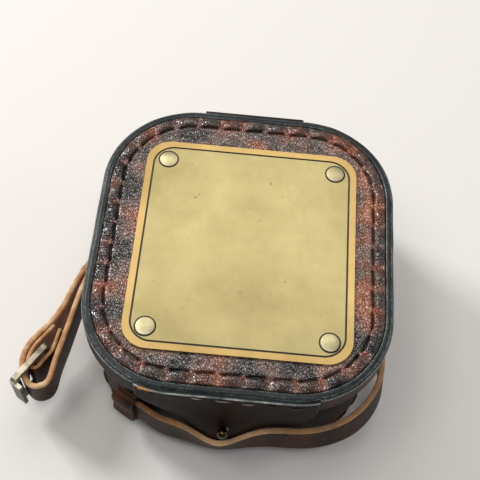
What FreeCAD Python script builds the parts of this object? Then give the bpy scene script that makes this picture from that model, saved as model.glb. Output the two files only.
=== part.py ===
import math
import os

import FreeCAD, Part
from FreeCAD import Vector

# A hand-stitched leather case for a pocket sextant, standing on its base.
# Origin: centre of the base. X to the right, -Y to the front (the tongue side), Z up.
# All sizes in millimetres.

# Lid
lid_width = 124.0
lid_depth = 132.0
lid_corner = 38.8
lid_top_leather = 2.6
skirt_height = 12.0
skirt_leather = 3.4
skirt_edge_round = 1.2
lid_welt_leather = 1.5
lid_welt_width = 9.0
stitch_inset = 8.6
stitch_groove_width = 1.8
stitch_groove_depth = 0.5

# Body
case_height = 58.0
wall_leather = 3.0
base_edge_bevel = 1.5
bottom_leather = 3.0
bottom_welt_width = 8.0
bottom_welt_leather = 2.0
lining_felt = 1.2
lining_drop = 1.5
pad_felt = 2.4
lid_wall_gap = 0.6
lid_rest_gap = 0.4

# Brass plate on the lid
plate_side_margin = 16.9
plate_end_margin = 17.4
plate_corner = 10.4
plate_brass = 1.0
plate_shift_x = 0.6
plate_shift_y = -1.4
plate_line_inset = 2.75
plate_line_width = 0.7
plate_line_depth = 0.35
plate_rivet_inset = 9.2
rivet_head = 7.8
rivet_rise = 0.5
rivet_shank = 3.0
burr_width = 8.0
burr_brass = 0.8

# Leather hinge at the back
hinge_width = 44.0
hinge_leather = 2.2
hinge_upper_leaf = 9.5
hinge_joggle = 4.0

# Belt round the body and its loops
belt_leather = 2.4
belt_width = 16.0
belt_wall_gap = 0.4
belt_peak_place = -3.2
belt_peak_top = 8.6
belt_peak_base = 5.0
belt_peak_spread_top = 13.5
belt_peak_spread_base = 19.0
belt_front_gap = 2.9
belt_bow_past_corner = 30.8
belt_corner_spread = 26.0
belt_corner_top = 2.3
belt_corner_base = 5.4
belt_end_past_left_corner = 23.8
belt_end_past_back_corner = 7.74
belt_ease_left_past_corner = 14.8
belt_ease_left = 14.0
belt_ease_right_past_corner = 38.8
loop_width = 9.0
loop_leather = 1.8
loop_gap = 0.4
hardware_gap = 0.3
rivet_seat = 0.1
loop_foot = 6.3
belt_front_loop_run = 18.8
belt_side_loop_past_corner = 9.0
belt_rivet_before_corner = 8.2
belt_rivet_head = 7.0
belt_rivet_rise = 1.2
anchor_rivet_past_corner = 3.2

# Front tongue and its ball stud
tongue_leather = 2.2
tongue_let_in = 1.4
tongue_left = -37.0
tongue_right = 34.0
tongue_left_at_belt = -17.5
tongue_right_at_belt = 30.0
tongue_tip_left = -11.0
tongue_tip_right = 5.0
tongue_tip_drop = 8.0
tongue_shoulder_place = 14.0
tongue_shoulder_drop = 3.0
tongue_belt_gap = 0.45
tongue_tip_round = 4.0
tongue_side_round = 2.4
stud_place = -1.7
stud_ball = 4.4
stud_neck = 2.4
stud_neck_length = 0.7
stud_flange = 5.0
stud_flange_brass = 0.6
screw_head = 7.0
screw_head_brass = 1.0
screw_slot_width = 1.0
stud_seat_depth = 0.8

# Buckle strap at the left and its slide buckle
strap_leather = 2.4
chape_leather = 1.6
strap_reach = 76.5
strap_root_gap = 0.8
strap_rivet_head = 6.4
strap_rivet_spacing = 8.6
strap_rivets_before_fold = 9.0
strap_overlap = 13.5
strap_overlap_straight = 5.0
strap_layer_gap = 0.35
strap_lap = 5.4
slide_bar = 2.4
slide_window_play = 0.6
slide_end_bar = 3.6
slide_inner_reach = 7.6
slide_outer_reach = 10.8
slide_lip = 3.0
slide_lip_metal = 1.6
slide_angle = 32.4

# Shares
belt_height_share = 12 / 46
stud_height_share = 0.37
hinge_leaf_share = 15 / 18
taper_share = 0.22
peak_sharpness_share = 1.8
loop_inner_round_share = 0.25
loop_outer_round_share = 0.9
stud_web_share = 0.3
slide_corner_share = 0.9
bar_round_share = 0.42

# Where the slide buckle's middle bar stands, as shares of strap_reach: first the run
# towards the front from the strap's root, then the reach to the left
slide_centre_shares = (0.863, 0.290)
# Bend of the strap round the slide buckle, and of the chape round its bar, as shares of
# slide_outer_reach from the middle bar: towards the front, then to the left
strap_bend_shares = [
    (-3.42, -0.97), (-2.66, -0.76), (-2.02, -0.51), (-1.45, -0.15), (-0.92, 0.22),
    (-0.42, 0.42), (0.18, 0.43), (0.67, 0.23), (0.97, -0.21), (0.80, -0.60),
    (0.18, -0.75), (-0.60, -0.85), (-1.35, -0.98), (-2.14, -1.10),
]
chape_bend_shares = [
    (-1.57, -0.50), (-1.12, -0.20), (-0.66, 0.09), (-0.27, 0.22), (0.02, 0.23),
    (0.19, 0.13), (0.24, -0.03), (0.17, -0.18), (0.01, -0.28), (-0.23, -0.42),
    (-0.53, -0.59), (-0.94, -0.68), (-1.44, -0.75),
]

# Stations along the bent straps, even for those whose sides are arcs through them
belt_stations = 40
strap_stations = 28
chape_stations = 16
tongue_levels = 4
tongue_stations = 12

overrun = 1.0
tiny = 0.000001

# Derived places
half_wall_width = lid_width / 2 - skirt_leather - lid_wall_gap
half_wall_depth = lid_depth / 2 - skirt_leather - lid_wall_gap
wall_corner = lid_corner - skirt_leather - lid_wall_gap
lid_inner_z = case_height - lid_top_leather - lid_welt_leather
wall_top = lid_inner_z - lid_rest_gap
skirt_base = case_height - skirt_height
plate_width = lid_width - 2 * plate_side_margin
plate_depth = lid_depth - 2 * plate_end_margin
belt_base = skirt_base * belt_height_share
belt_top = belt_base + belt_width
skirt_out = lid_wall_gap + skirt_leather
tongue_proud = tongue_leather - tongue_let_in
tongue_out = skirt_out + tongue_proud
tongue_root_rise = skirt_height - skirt_edge_round
straight_front = half_wall_width - wall_corner
straight_side = half_wall_depth - wall_corner
corner_run = wall_corner * math.pi / 2
stud_height = belt_top + (skirt_base - belt_top) * stud_height_share
hinge_lower_leaf = (skirt_base - belt_top) * hinge_leaf_share
belt_corner_place = straight_front + belt_bow_past_corner
belt_left_end = -straight_front - belt_end_past_left_corner
belt_ease_left_start = -straight_front - belt_ease_left_past_corner
belt_ease_right_start = straight_front + belt_ease_right_past_corner
belt_side_loop_y = straight_side - belt_side_loop_past_corner
belt_side_loop_run = straight_front + corner_run + straight_side + belt_side_loop_y
belt_ease_right = belt_side_loop_run - loop_width / 2 - belt_ease_right_start
anchor_rivet_y = straight_side - anchor_rivet_past_corner
belt_middle = belt_base + belt_width / 2
strap_root_x = -half_wall_width - belt_wall_gap - belt_leather / 2
left_side_start = 3 * straight_front + 2 * straight_side + 3 * corner_run
belt_right_end = left_side_start + belt_end_past_back_corner
strap_root_y = straight_side - belt_end_past_back_corner - strap_root_gap
slide_centre = Vector(
    strap_root_x - slide_centre_shares[1] * strap_reach,
    strap_root_y - slide_centre_shares[0] * strap_reach,
    0,
)

PARTS = {}


def keep(name, shape):
    """Remember a finished sub-part under its node name."""
    PARTS[name] = shape


def rounded_wire(width, depth, corner, z):
    """Closed outline of a rounded rectangle centred on the origin."""
    x = width / 2
    y = depth / 2
    dx = x - corner
    dy = y - corner
    s = corner * math.sin(math.pi / 4)
    edges = []
    ends = [
        (Vector(-dx, -y, z), Vector(dx, -y, z), Vector(dx + s, -dy - s, z), Vector(x, -dy, z)),
        (Vector(x, -dy, z), Vector(x, dy, z), Vector(dx + s, dy + s, z), Vector(dx, y, z)),
        (Vector(dx, y, z), Vector(-dx, y, z), Vector(-dx - s, dy + s, z), Vector(-x, dy, z)),
        (Vector(-x, dy, z), Vector(-x, -dy, z), Vector(-dx - s, -dy - s, z), Vector(-dx, -y, z)),
    ]
    for start, end, middle, arc_end in ends:
        edges.append(Part.LineSegment(start, end).toShape())
        edges.append(Part.Arc(end, middle, arc_end).toShape())
    return Part.Wire(edges)


def slab(width, depth, corner, z, height):
    """Rounded rectangular slab."""
    face = Part.Face(rounded_wire(width, depth, corner, z))
    return face.extrude(Vector(0, 0, height))


def ring(width, depth, corner, thickness, z, height):
    """Rounded rectangular ring, measured over its outside."""
    outer = slab(width, depth, corner, z, height)
    inner = slab(
        width - 2 * thickness,
        depth - 2 * thickness,
        corner - thickness,
        z - overrun,
        height + 2 * overrun,
    )
    return outer.cut(inner)


def edges_at(shape, z):
    """Edges of a plain slab that lie at one height."""
    found = []
    for edge in shape.Edges:
        box = edge.BoundBox
        if abs(box.ZMin - z) < tiny and abs(box.ZMax - z) < tiny:
            found.append(edge)
    return found


def wall_point(run):
    """Point on the wall's outside at a run measured from the front centre to the right,
    with the outward normal there."""
    lengths = [
        ("line", straight_front, -math.pi / 2),
        ("arc", corner_run, -math.pi / 2),
        ("line", 2 * straight_side, 0),
        ("arc", corner_run, 0),
        ("line", 2 * straight_front, math.pi / 2),
        ("arc", corner_run, math.pi / 2),
        ("line", 2 * straight_side, math.pi),
        ("arc", corner_run, math.pi),
        ("line", straight_front, 3 * math.pi / 2),
    ]
    total = sum(length for _, length, _ in lengths)
    left = run % total
    x = 0
    y = -half_wall_depth
    for kind, length, angle in lengths:
        step = min(left, length)
        if kind == "line":
            x += step * -math.sin(angle)
            y += step * math.cos(angle)
            turned = angle
        else:
            turned = angle + step / wall_corner
            centre_x = x - wall_corner * math.cos(angle)
            centre_y = y - wall_corner * math.sin(angle)
            x = centre_x + wall_corner * math.cos(turned)
            y = centre_y + wall_corner * math.sin(turned)
        left -= step
        if left <= 0:
            break
    return x, y, math.cos(turned), math.sin(turned)


def off_wall(run, out, z):
    """Point a given distance outside the wall."""
    x, y, nx, ny = wall_point(run)
    return Vector(x + nx * out, y + ny * out, z)


def ease(value):
    """Smooth step from 0 to 1."""
    v = max(0, min(1, value))
    return v * v * (3 - 2 * v)


def belt_centre(run, level):
    """How far the belt's middle stands off the wall; level is 0 at its base, 1 at its top."""
    snug = belt_wall_gap + belt_leather / 2
    front = belt_front_gap + belt_leather / 2
    left = ease((run - belt_ease_left_start) / belt_ease_left)
    right = 1 - ease((run - belt_ease_right_start) / belt_ease_right)
    base = snug + (front - snug) * left * right

    def peak(height, spread):
        reach = abs(run - belt_peak_place) / spread
        return height * left * math.exp(-reach ** peak_sharpness_share)

    def corner(height):
        reach = (run - belt_corner_place) / belt_corner_spread
        return height * right * math.exp(-reach ** 2)

    top = peak(belt_peak_top, belt_peak_spread_top) + corner(belt_corner_top)
    foot = peak(belt_peak_base, belt_peak_spread_base) + corner(belt_corner_base)
    return base + foot + (top - foot) * level


def spline(points):
    """Smooth edge through points."""
    curve = Part.BSplineCurve()
    curve.interpolate(points)
    return curve.toShape()


def solid_of(faces):
    """Closed solid from its faces."""
    shell = Part.makeShell(faces)
    body = Part.makeSolid(shell)
    if body.Volume < 0:
        body.reverse()
    return body


def band(inner_low, outer_low, inner_high, outer_high):
    """Strap with four long edges, each a smooth line through its points."""
    a = spline(inner_low)
    b = spline(outer_low)
    c = spline(inner_high)
    d = spline(outer_high)
    faces = [
        Part.makeRuledSurface(a, b, 1),
        Part.makeRuledSurface(c, d, 1),
        Part.makeRuledSurface(a, c, 1),
        Part.makeRuledSurface(b, d, 1),
    ]
    for i in (0, -1):
        foot = Part.makeLine(inner_low[i], outer_low[i])
        head = Part.makeLine(inner_high[i], outer_high[i])
        faces.append(Part.makeRuledSurface(foot, head, 1))
    return solid_of(faces)


def rounded_polygon(points, place):
    """Closed outline with rounded corners; each point is (a, b, radius), and place turns
    (a, b) into a point in space."""
    edges = []
    count = len(points)
    joins = []
    radius_of = [point[2] for point in points]
    for i, (a, b, radius) in enumerate(points):
        here = Vector(a, b, 0)
        before = Vector(points[i - 1][0], points[i - 1][1], 0)
        after = Vector(points[(i + 1) % count][0], points[(i + 1) % count][1], 0)
        back = (before - here).normalize()
        ahead = (after - here).normalize()
        angle = back.getAngle(ahead)
        reach = radius / math.tan(angle / 2)
        middle = (back + ahead).normalize()
        centre = here + middle * (radius / math.sin(angle / 2))
        joins.append((here + back * reach, centre - middle * radius, here + ahead * reach))
    for i, (start, middle, end) in enumerate(joins):
        nxt = joins[(i + 1) % count][0]
        if radius_of[i]:
            edges.append(Part.Arc(place(start), place(middle), place(end)).toShape())
        edges.append(Part.LineSegment(place(end), place(nxt)).toShape())
    return Part.Wire(edges)


def revolved(profile, base, axis):
    """Turned piece from a closed profile of edges in (radius, distance along the axis)."""
    face = Part.Face(Part.Wire(profile))
    body = face.revolve(Vector(0, 0, 0), Vector(0, 0, 1), 360)
    body.Placement = FreeCAD.Placement(base, FreeCAD.Rotation(Vector(0, 0, 1), axis))
    return body


def polyline(points):
    """Straight profile edges through (radius, distance) points."""
    edges = []
    for (r0, h0), (r1, h1) in zip(points, points[1:]):
        edges.append(Part.makeLine(Vector(r0, 0, h0), Vector(r1, 0, h1)))
    return edges


def arc_on(centre_h, radius, start, end):
    """Profile arc of a ball on the axis, between two angles from the axis."""
    points = []
    for angle in (start, (start + end) / 2, end):
        points.append(Vector(radius * math.sin(angle), 0, centre_h + radius * math.cos(angle)))
    return Part.Arc(*points).toShape()


def rivet(head, rise, shank, length, base, axis):
    """Rivet with a domed head above its base point and a shank below it."""
    ball = (head * head / 4 + rise * rise) / (2 * rise)
    limit = math.asin(head / 2 / ball)
    edges = polyline([(0, rise), (0, -length), (shank / 2, -length), (shank / 2, 0), (head / 2, 0)])
    edges.append(arc_on(rise - ball, ball, limit, 0))
    return revolved(edges, base, axis)


def disc(base, axis, radius, height):
    """Plain round disc or hole."""
    return Part.makeCylinder(radius, height, base, axis)


def make_body():
    """Wall, base, welt, lining and pad of the case."""
    width = 2 * half_wall_width
    depth = 2 * half_wall_depth
    wall = slab(width, depth, wall_corner, 0, wall_top)
    wall = wall.makeChamfer(base_edge_bevel, edges_at(wall, 0))
    inner_width = width - 2 * wall_leather
    inner_depth = depth - 2 * wall_leather
    inner_corner = wall_corner - wall_leather
    hollow = slab(inner_width, inner_depth, inner_corner, -overrun, wall_top + 2 * overrun)
    wall = wall.cut(hollow)
    for x in belt_rivet_places():
        hole_start = Vector(x, half_wall_depth + overrun, belt_middle)
        hole = disc(hole_start, Vector(0, -1, 0), rivet_shank / 2, wall_leather + 2 * overrun)
        wall = wall.cut(hole)
    anchor_start = Vector(-half_wall_width - overrun, anchor_rivet_y, belt_middle)
    wall = wall.cut(
        disc(anchor_start, Vector(1, 0, 0), rivet_shank / 2, wall_leather + 2 * overrun)
    )
    keep("body_wall", wall)

    keep("body_bottom", slab(inner_width, inner_depth, inner_corner, 0, bottom_leather))
    welt = ring(
        inner_width, inner_depth, inner_corner, bottom_welt_width,
        bottom_leather, bottom_welt_leather,
    )
    keep("bottom_welt", welt)

    lining_base = bottom_leather + bottom_welt_leather
    lining = ring(
        inner_width, inner_depth, inner_corner, lining_felt,
        lining_base, wall_top - lining_drop - lining_base,
    )
    for x in belt_rivet_places():
        start = Vector(x, inner_depth / 2 + overrun, belt_middle)
        pocket = disc(start, Vector(0, -1, 0), burr_width / 2 + hardware_gap,
                      lining_felt + 2 * overrun)
        lining = lining.cut(pocket)
    start = Vector(-inner_width / 2 - overrun, anchor_rivet_y, belt_middle)
    pocket = disc(start, Vector(1, 0, 0), burr_width / 2 + hardware_gap,
                  lining_felt + 2 * overrun)
    keep("wall_lining", lining.cut(pocket))

    pad_low = slab(
        inner_width - 2 * bottom_welt_width,
        inner_depth - 2 * bottom_welt_width,
        inner_corner - bottom_welt_width,
        bottom_leather,
        bottom_welt_leather,
    )
    pad_high = slab(
        inner_width - 2 * lining_felt,
        inner_depth - 2 * lining_felt,
        inner_corner - lining_felt,
        lining_base,
        pad_felt,
    )
    keep("bottom_pad", pad_low.fuse(pad_high).removeSplitter())


def make_lid():
    """Skirt, top panel, welt and lining of the lid."""
    skirt = slab(lid_width, lid_depth, lid_corner, skirt_base, skirt_height)
    skirt = skirt.makeFillet(skirt_edge_round, edges_at(skirt, case_height))
    inner_width = lid_width - 2 * skirt_leather
    inner_depth = lid_depth - 2 * skirt_leather
    inner_corner = lid_corner - skirt_leather
    hollow = slab(
        inner_width, inner_depth, inner_corner, skirt_base - overrun, skirt_height + 2 * overrun
    )
    keep("lid_skirt", skirt.cut(hollow).cut(tongue_root()))

    panel_base = case_height - lid_top_leather
    panel = slab(inner_width, inner_depth, inner_corner, panel_base, lid_top_leather)
    groove = ring(
        lid_width - 2 * stitch_inset + stitch_groove_width,
        lid_depth - 2 * stitch_inset + stitch_groove_width,
        lid_corner - stitch_inset + stitch_groove_width / 2,
        stitch_groove_width,
        case_height - stitch_groove_depth,
        stitch_groove_depth + overrun,
    )
    panel = panel.cut(groove)
    for x, y in plate_rivet_places():
        hole = disc(Vector(x, y, panel_base - overrun), Vector(0, 0, 1), rivet_shank / 2,
                    lid_top_leather + 2 * overrun)
        panel = panel.cut(hole)
    keep("lid_top", panel)

    welt = ring(
        inner_width, inner_depth, inner_corner, lid_welt_width, lid_inner_z, lid_welt_leather
    )
    keep("lid_welt", welt)

    lining = slab(
        inner_width - 2 * lid_welt_width,
        inner_depth - 2 * lid_welt_width,
        inner_corner - lid_welt_width,
        lid_inner_z,
        lid_welt_leather,
    )
    for x, y in plate_rivet_places():
        pocket = disc(Vector(x, y, lid_inner_z - overrun), Vector(0, 0, 1),
                      burr_width / 2 + hardware_gap, lid_welt_leather + 2 * overrun)
        lining = lining.cut(pocket)
    keep("lid_lining", lining)


def plate_rivet_places():
    """Centres of the four rivets of the plate."""
    x = plate_width / 2 - plate_rivet_inset
    y = plate_depth / 2 - plate_rivet_inset
    corners = [(-x, -y), (x, -y), (x, y), (-x, y)]
    return [(a + plate_shift_x, b + plate_shift_y) for a, b in corners]


def make_plate():
    """Brass plate, its rivets and the burrs that they are closed over."""
    plate = slab(plate_width, plate_depth, plate_corner, case_height, plate_brass)
    line = ring(
        plate_width - 2 * plate_line_inset,
        plate_depth - 2 * plate_line_inset,
        plate_corner - plate_line_inset / 2,
        plate_line_width,
        case_height + plate_brass - plate_line_depth,
        plate_line_depth + overrun,
    )
    plate = plate.cut(line)
    plate.translate(Vector(plate_shift_x, plate_shift_y, 0))
    rivets = []
    burrs = []
    shank = plate_brass + lid_top_leather + burr_brass
    burr_z = case_height - lid_top_leather - burr_brass
    for x, y in plate_rivet_places():
        hole = disc(Vector(x, y, case_height - overrun), Vector(0, 0, 1), rivet_shank / 2,
                    plate_brass + 2 * overrun)
        plate = plate.cut(hole)
        base = Vector(x, y, case_height + plate_brass)
        rivets.append(rivet(rivet_head, rivet_rise, rivet_shank, shank, base, Vector(0, 0, 1)))
        burr = disc(Vector(x, y, burr_z), Vector(0, 0, 1), burr_width / 2, burr_brass)
        bore = disc(Vector(x, y, burr_z - overrun), Vector(0, 0, 1), rivet_shank / 2,
                    burr_brass + 2 * overrun)
        burrs.append(burr.cut(bore))
    keep("brass_plate", plate)
    keep("plate_rivets", Part.makeCompound(rivets))
    keep("plate_rivet_burrs", Part.makeCompound(burrs))


def make_hinge():
    """Leather hinge: the lower leaf steps out over the skirt's edge to the upper one."""
    low = skirt_base - hinge_lower_leaf
    bend = skirt_base - hinge_joggle
    wall_y = half_wall_depth
    profile = [
        (wall_y, low),
        (wall_y + hinge_leather, low),
        (wall_y + hinge_leather, bend),
        (wall_y + skirt_out + hinge_leather, skirt_base),
        (wall_y + skirt_out, skirt_base),
        (wall_y, bend),
    ]
    points = [Vector(-hinge_width / 2, y, z) for y, z in profile]
    points.append(points[0])
    lower = Part.Face(Part.makePolygon(points)).extrude(Vector(hinge_width, 0, 0))
    keep("hinge_lower_leaf", lower)
    upper = Part.makeBox(
        hinge_width, hinge_leather, hinge_upper_leaf,
        Vector(-hinge_width / 2, wall_y + skirt_out, skirt_base),
    )
    keep("hinge_upper_leaf", upper)


def belt_rivet_places():
    """Places of the two rivets at the back, along X."""
    place = straight_front - belt_rivet_before_corner
    return [-place, place]


def make_belt():
    """Belt: a band on edge that stands off the wall where the tongue is tucked behind it."""
    lines = [[], [], [], []]
    for i in range(belt_stations + 1):
        run = belt_left_end + (belt_right_end - belt_left_end) * i / belt_stations
        low = belt_centre(run, 0)
        high = belt_centre(run, 1)
        half = belt_leather / 2
        lines[0].append(off_wall(run, low - half, belt_base))
        lines[1].append(off_wall(run, low + half, belt_base))
        lines[2].append(off_wall(run, high - half, belt_top))
        lines[3].append(off_wall(run, high + half, belt_top))
    belt = band(*lines)
    outside = belt_wall_gap + belt_leather
    rivets = []
    burrs = []
    spots = []
    for x in belt_rivet_places():
        spots.append((Vector(x, half_wall_depth + outside, belt_middle), Vector(0, 1, 0)))
    spots.append((Vector(-half_wall_width - outside, anchor_rivet_y, belt_middle), Vector(-1, 0, 0)))
    shank = rivet_seat + outside + wall_leather + burr_brass
    for spot, axis in spots:
        belt = belt.cut(disc(spot + axis * overrun, -axis, rivet_shank / 2, outside + overrun))
        head = spot + axis * rivet_seat
        rivets.append(rivet(belt_rivet_head, belt_rivet_rise, rivet_shank, shank, head, axis))
        inner = spot - axis * (outside + wall_leather)
        burr = disc(inner, -axis, burr_width / 2, burr_brass)
        bore = disc(inner + axis * overrun, -axis, rivet_shank / 2, burr_brass + 2 * overrun)
        burrs.append(burr.cut(bore))
    keep("belt", belt)
    keep("belt_rivets", Part.makeCompound(rivets))
    keep("belt_rivet_burrs", Part.makeCompound(burrs))


def loop_profile():
    """Outline of a belt loop in (distance off the wall, height) with corner radii."""
    inner = belt_wall_gap + belt_leather + loop_gap
    outer = inner + loop_leather
    under = belt_base - loop_gap
    over = belt_top + loop_gap
    small = loop_leather * loop_inner_round_share
    large = loop_leather * loop_outer_round_share
    return [
        (0, under - loop_foot, 0),
        (loop_leather, under - loop_foot, small),
        (loop_leather, under - loop_leather, small),
        (outer, under - loop_leather, large),
        (outer, over + loop_leather, large),
        (loop_leather, over + loop_leather, small),
        (loop_leather, over + loop_foot, small),
        (0, over + loop_foot, 0),
        (0, over, 0),
        (inner, over, small),
        (inner, under, small),
        (0, under, 0),
    ]


def make_loops():
    """Loops that hold the belt: one at the left front corner, one on the right side."""
    start = -straight_front - belt_front_loop_run - loop_width / 2
    x, y, nx, ny = wall_point(start)

    def on_corner(point):
        return Vector(x + nx * point.x, y + ny * point.x, point.y)

    wire = rounded_polygon(loop_profile(), on_corner)
    centre = Vector(-straight_front, -straight_side, 0)
    turn = math.degrees(loop_width / wall_corner)
    keep("belt_loop_front", Part.Face(wire).revolve(centre, Vector(0, 0, 1), turn))

    side_y = belt_side_loop_y - loop_width / 2

    def on_side(point):
        return Vector(half_wall_width + point.x, side_y, point.y)

    wire = rounded_polygon(loop_profile(), on_side)
    keep("belt_loop_side", Part.Face(wire).extrude(Vector(0, loop_width, 0)))


def tongue_face(x, z):
    """How far the tongue's outer face stands off the wall's front."""
    at_rim = belt_centre(x, 1) - belt_leather / 2 - tongue_belt_gap
    if z >= belt_top:
        blend = ease((skirt_base - z) / (skirt_base - belt_top))
        return tongue_out + (at_rim - tongue_out) * blend
    return at_rim - taper_share * (belt_top - z)


def tongue_root():
    """Sewn part of the tongue, let into the front of the skirt."""
    around = ring(
        lid_width + 2 * tongue_proud,
        lid_depth + 2 * tongue_proud,
        lid_corner + tongue_proud,
        tongue_leather,
        skirt_base,
        tongue_root_rise,
    )
    window = Part.makeBox(
        tongue_right - tongue_left, lid_depth, 2 * skirt_height,
        Vector(tongue_left, -lid_depth, skirt_base - overrun),
    )
    return around.common(window)


def make_tongue():
    """Tongue: its sewn root on the skirt, and the bowed blade that goes behind the belt."""
    keep("tongue_root", tongue_root())

    deepest = belt_top - tongue_tip_drop - overrun
    sections = []
    for k in range(tongue_levels + 1):
        z = skirt_base - (skirt_base - deepest) * k / tongue_levels
        outer = []
        inner = []
        for i in range(tongue_stations + 1):
            x = tongue_left - overrun
            x += (tongue_right - tongue_left + 2 * overrun) * i / tongue_stations
            out = tongue_face(x, z)
            outer.append(off_wall(x, out, z))
            inner.append(off_wall(x, out - tongue_leather, z))
        sides = [
            spline(outer),
            Part.makeLine(outer[-1], inner[-1]),
            spline(inner[::-1]),
            Part.makeLine(inner[0], outer[0]),
        ]
        sections.append(Part.Wire(sides))
    blank = Part.makeLoft(sections, True, False)

    tip = belt_top - tongue_tip_drop
    outline = [
        (tongue_left, skirt_base, 0),
        (tongue_left_at_belt, belt_top, tongue_side_round),
        (tongue_tip_left, tip, tongue_tip_round),
        (tongue_tip_right, tip, tongue_tip_round),
        (tongue_shoulder_place, belt_top - tongue_shoulder_drop, tongue_side_round),
        (tongue_right_at_belt, belt_top, tongue_side_round),
        (tongue_right, skirt_base, 0),
    ]

    def at_front(point):
        return Vector(point.x, -lid_depth, point.y)

    prism = Part.Face(rounded_polygon(outline, at_front)).extrude(Vector(0, lid_depth, 0))
    blade = blank.common(prism)

    front, axis = stud_seat()
    seat = disc(front, axis, stud_flange / 2 + hardware_gap, tongue_leather)
    back = front - axis * tongue_leather * stud_web_share
    nest = disc(back, -axis, screw_head / 2 + hardware_gap, tongue_leather)
    hole = disc(front + axis * overrun, -axis, stud_neck / 2, tongue_leather + 2 * overrun)
    keep("tongue", blade.cut(seat).cut(nest).cut(hole))

    web = tongue_leather * stud_web_share
    ball = stud_ball / 2
    opening = math.asin(stud_neck / stud_ball)
    ball_centre = stud_flange_brass + stud_neck_length + ball * math.cos(opening)
    edges = polyline([
        (0, ball_centre + ball), (0, -web), (stud_neck / 2, -web), (stud_neck / 2, 0),
        (stud_flange / 2, 0), (stud_flange / 2, stud_flange_brass / 2),
        (stud_neck / 2, stud_flange_brass), (stud_neck / 2, stud_flange_brass + stud_neck_length),
    ])
    edges.append(arc_on(ball_centre, ball, math.pi - opening, 0))
    keep("ball_stud", revolved(edges, front, axis))
    screw = disc(back, -axis, screw_head / 2, screw_head_brass)
    slot = Part.makeBox(
        screw_head + overrun, screw_slot_width, screw_head_brass,
        Vector(-screw_head / 2 - overrun / 2, -screw_slot_width / 2,
               screw_head_brass / 2),
    )
    slot.Placement = FreeCAD.Placement(back, FreeCAD.Rotation(Vector(0, 0, 1), -axis))
    keep("stud_screw", screw.cut(slot))


def stud_seat():
    """Centre of the stud's seat on the tongue and the direction that it faces."""
    out = tongue_face(stud_place, stud_height)
    above = tongue_face(stud_place, stud_height + overrun)
    below = tongue_face(stud_place, stud_height - overrun)
    slope = (below - above) / (2 * overrun)
    axis = Vector(0, -1, slope).normalize()
    point = off_wall(stud_place, out, stud_height)
    point.x = stud_place
    return point - axis * stud_seat_depth, axis


def bend_places(shares):
    """Points of a bend round the slide buckle's middle bar, at the strap's lower edge."""
    places = []
    for ahead, left in shares:
        step = Vector(-left * slide_outer_reach, -ahead * slide_outer_reach, belt_base)
        places.append(slide_centre + step)
    return places


def flat_strap(route, leather, stations):
    """Strap standing on edge along a route: straight at both ends, bent between them."""
    first_way = (route[1] - route[0]).normalize()
    last_way = (route[-1] - route[-2]).normalize()
    curve = Part.BSplineCurve()
    curve.interpolate(Points=route[1:-1], InitialTangent=first_way, FinalTangent=last_way)
    spots = [(route[0], first_way)]
    span = curve.LastParameter - curve.FirstParameter
    for i in range(stations + 1):
        value = curve.FirstParameter + span * i / stations
        spots.append((curve.value(value), curve.tangent(value)[0]))
    spots.append((route[-1], last_way))
    edges = []
    ends = []
    for half in (leather / 2, -leather / 2):
        line = [spot + Vector(way.y, -way.x, 0) * half for spot, way in spots]
        edges.append(Part.makeLine(line[0], line[1]))
        for i in range(1, stations + 1, 2):
            edges.append(Part.Arc(line[i], line[i + 1], line[i + 2]).toShape())
        edges.append(Part.makeLine(line[-2], line[-1]))
        ends.append((line[0], line[-1]))
    edges.append(Part.makeLine(ends[0][0], ends[1][0]))
    edges.append(Part.makeLine(ends[0][1], ends[1][1]))
    base = Part.Face(Part.Wire(Part.__sortEdges__(edges)))
    return base.extrude(Vector(0, 0, belt_width))


def make_strap():
    """Buckle strap, folded back on itself, and the chape that holds the slide buckle."""
    root = Vector(strap_root_x, strap_root_y, belt_base)
    bend = bend_places(strap_bend_shares)
    way = (bend[0] - root).normalize()
    axis = Vector(way.y, -way.x, 0)
    beside = bend[0] - axis * (strap_leather + strap_layer_gap)
    route = [root] + bend
    route.append(beside - way * (strap_overlap - strap_overlap_straight))
    route.append(beside - way * strap_overlap)
    strap = flat_strap(route, strap_leather, strap_stations)
    chape = flat_strap(bend_places(chape_bend_shares), chape_leather, chape_stations)
    point = bend[0] - way * strap_rivets_before_fold + Vector(0, 0, belt_width / 2)
    head = point + axis * (strap_leather / 2 + rivet_seat)
    rivets = []
    for lift in (-strap_rivet_spacing / 2, strap_rivet_spacing / 2):
        top = head + Vector(0, 0, lift)
        rivets.append(rivet(strap_rivet_head, belt_rivet_rise, rivet_shank, strap_lap, top, axis))
        strap = strap.cut(disc(top, -axis, rivet_shank / 2, 2 * strap_lap))
    keep("buckle_strap", strap)
    keep("buckle_chape", chape)
    keep("strap_rivets", Part.makeCompound(rivets))


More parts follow.
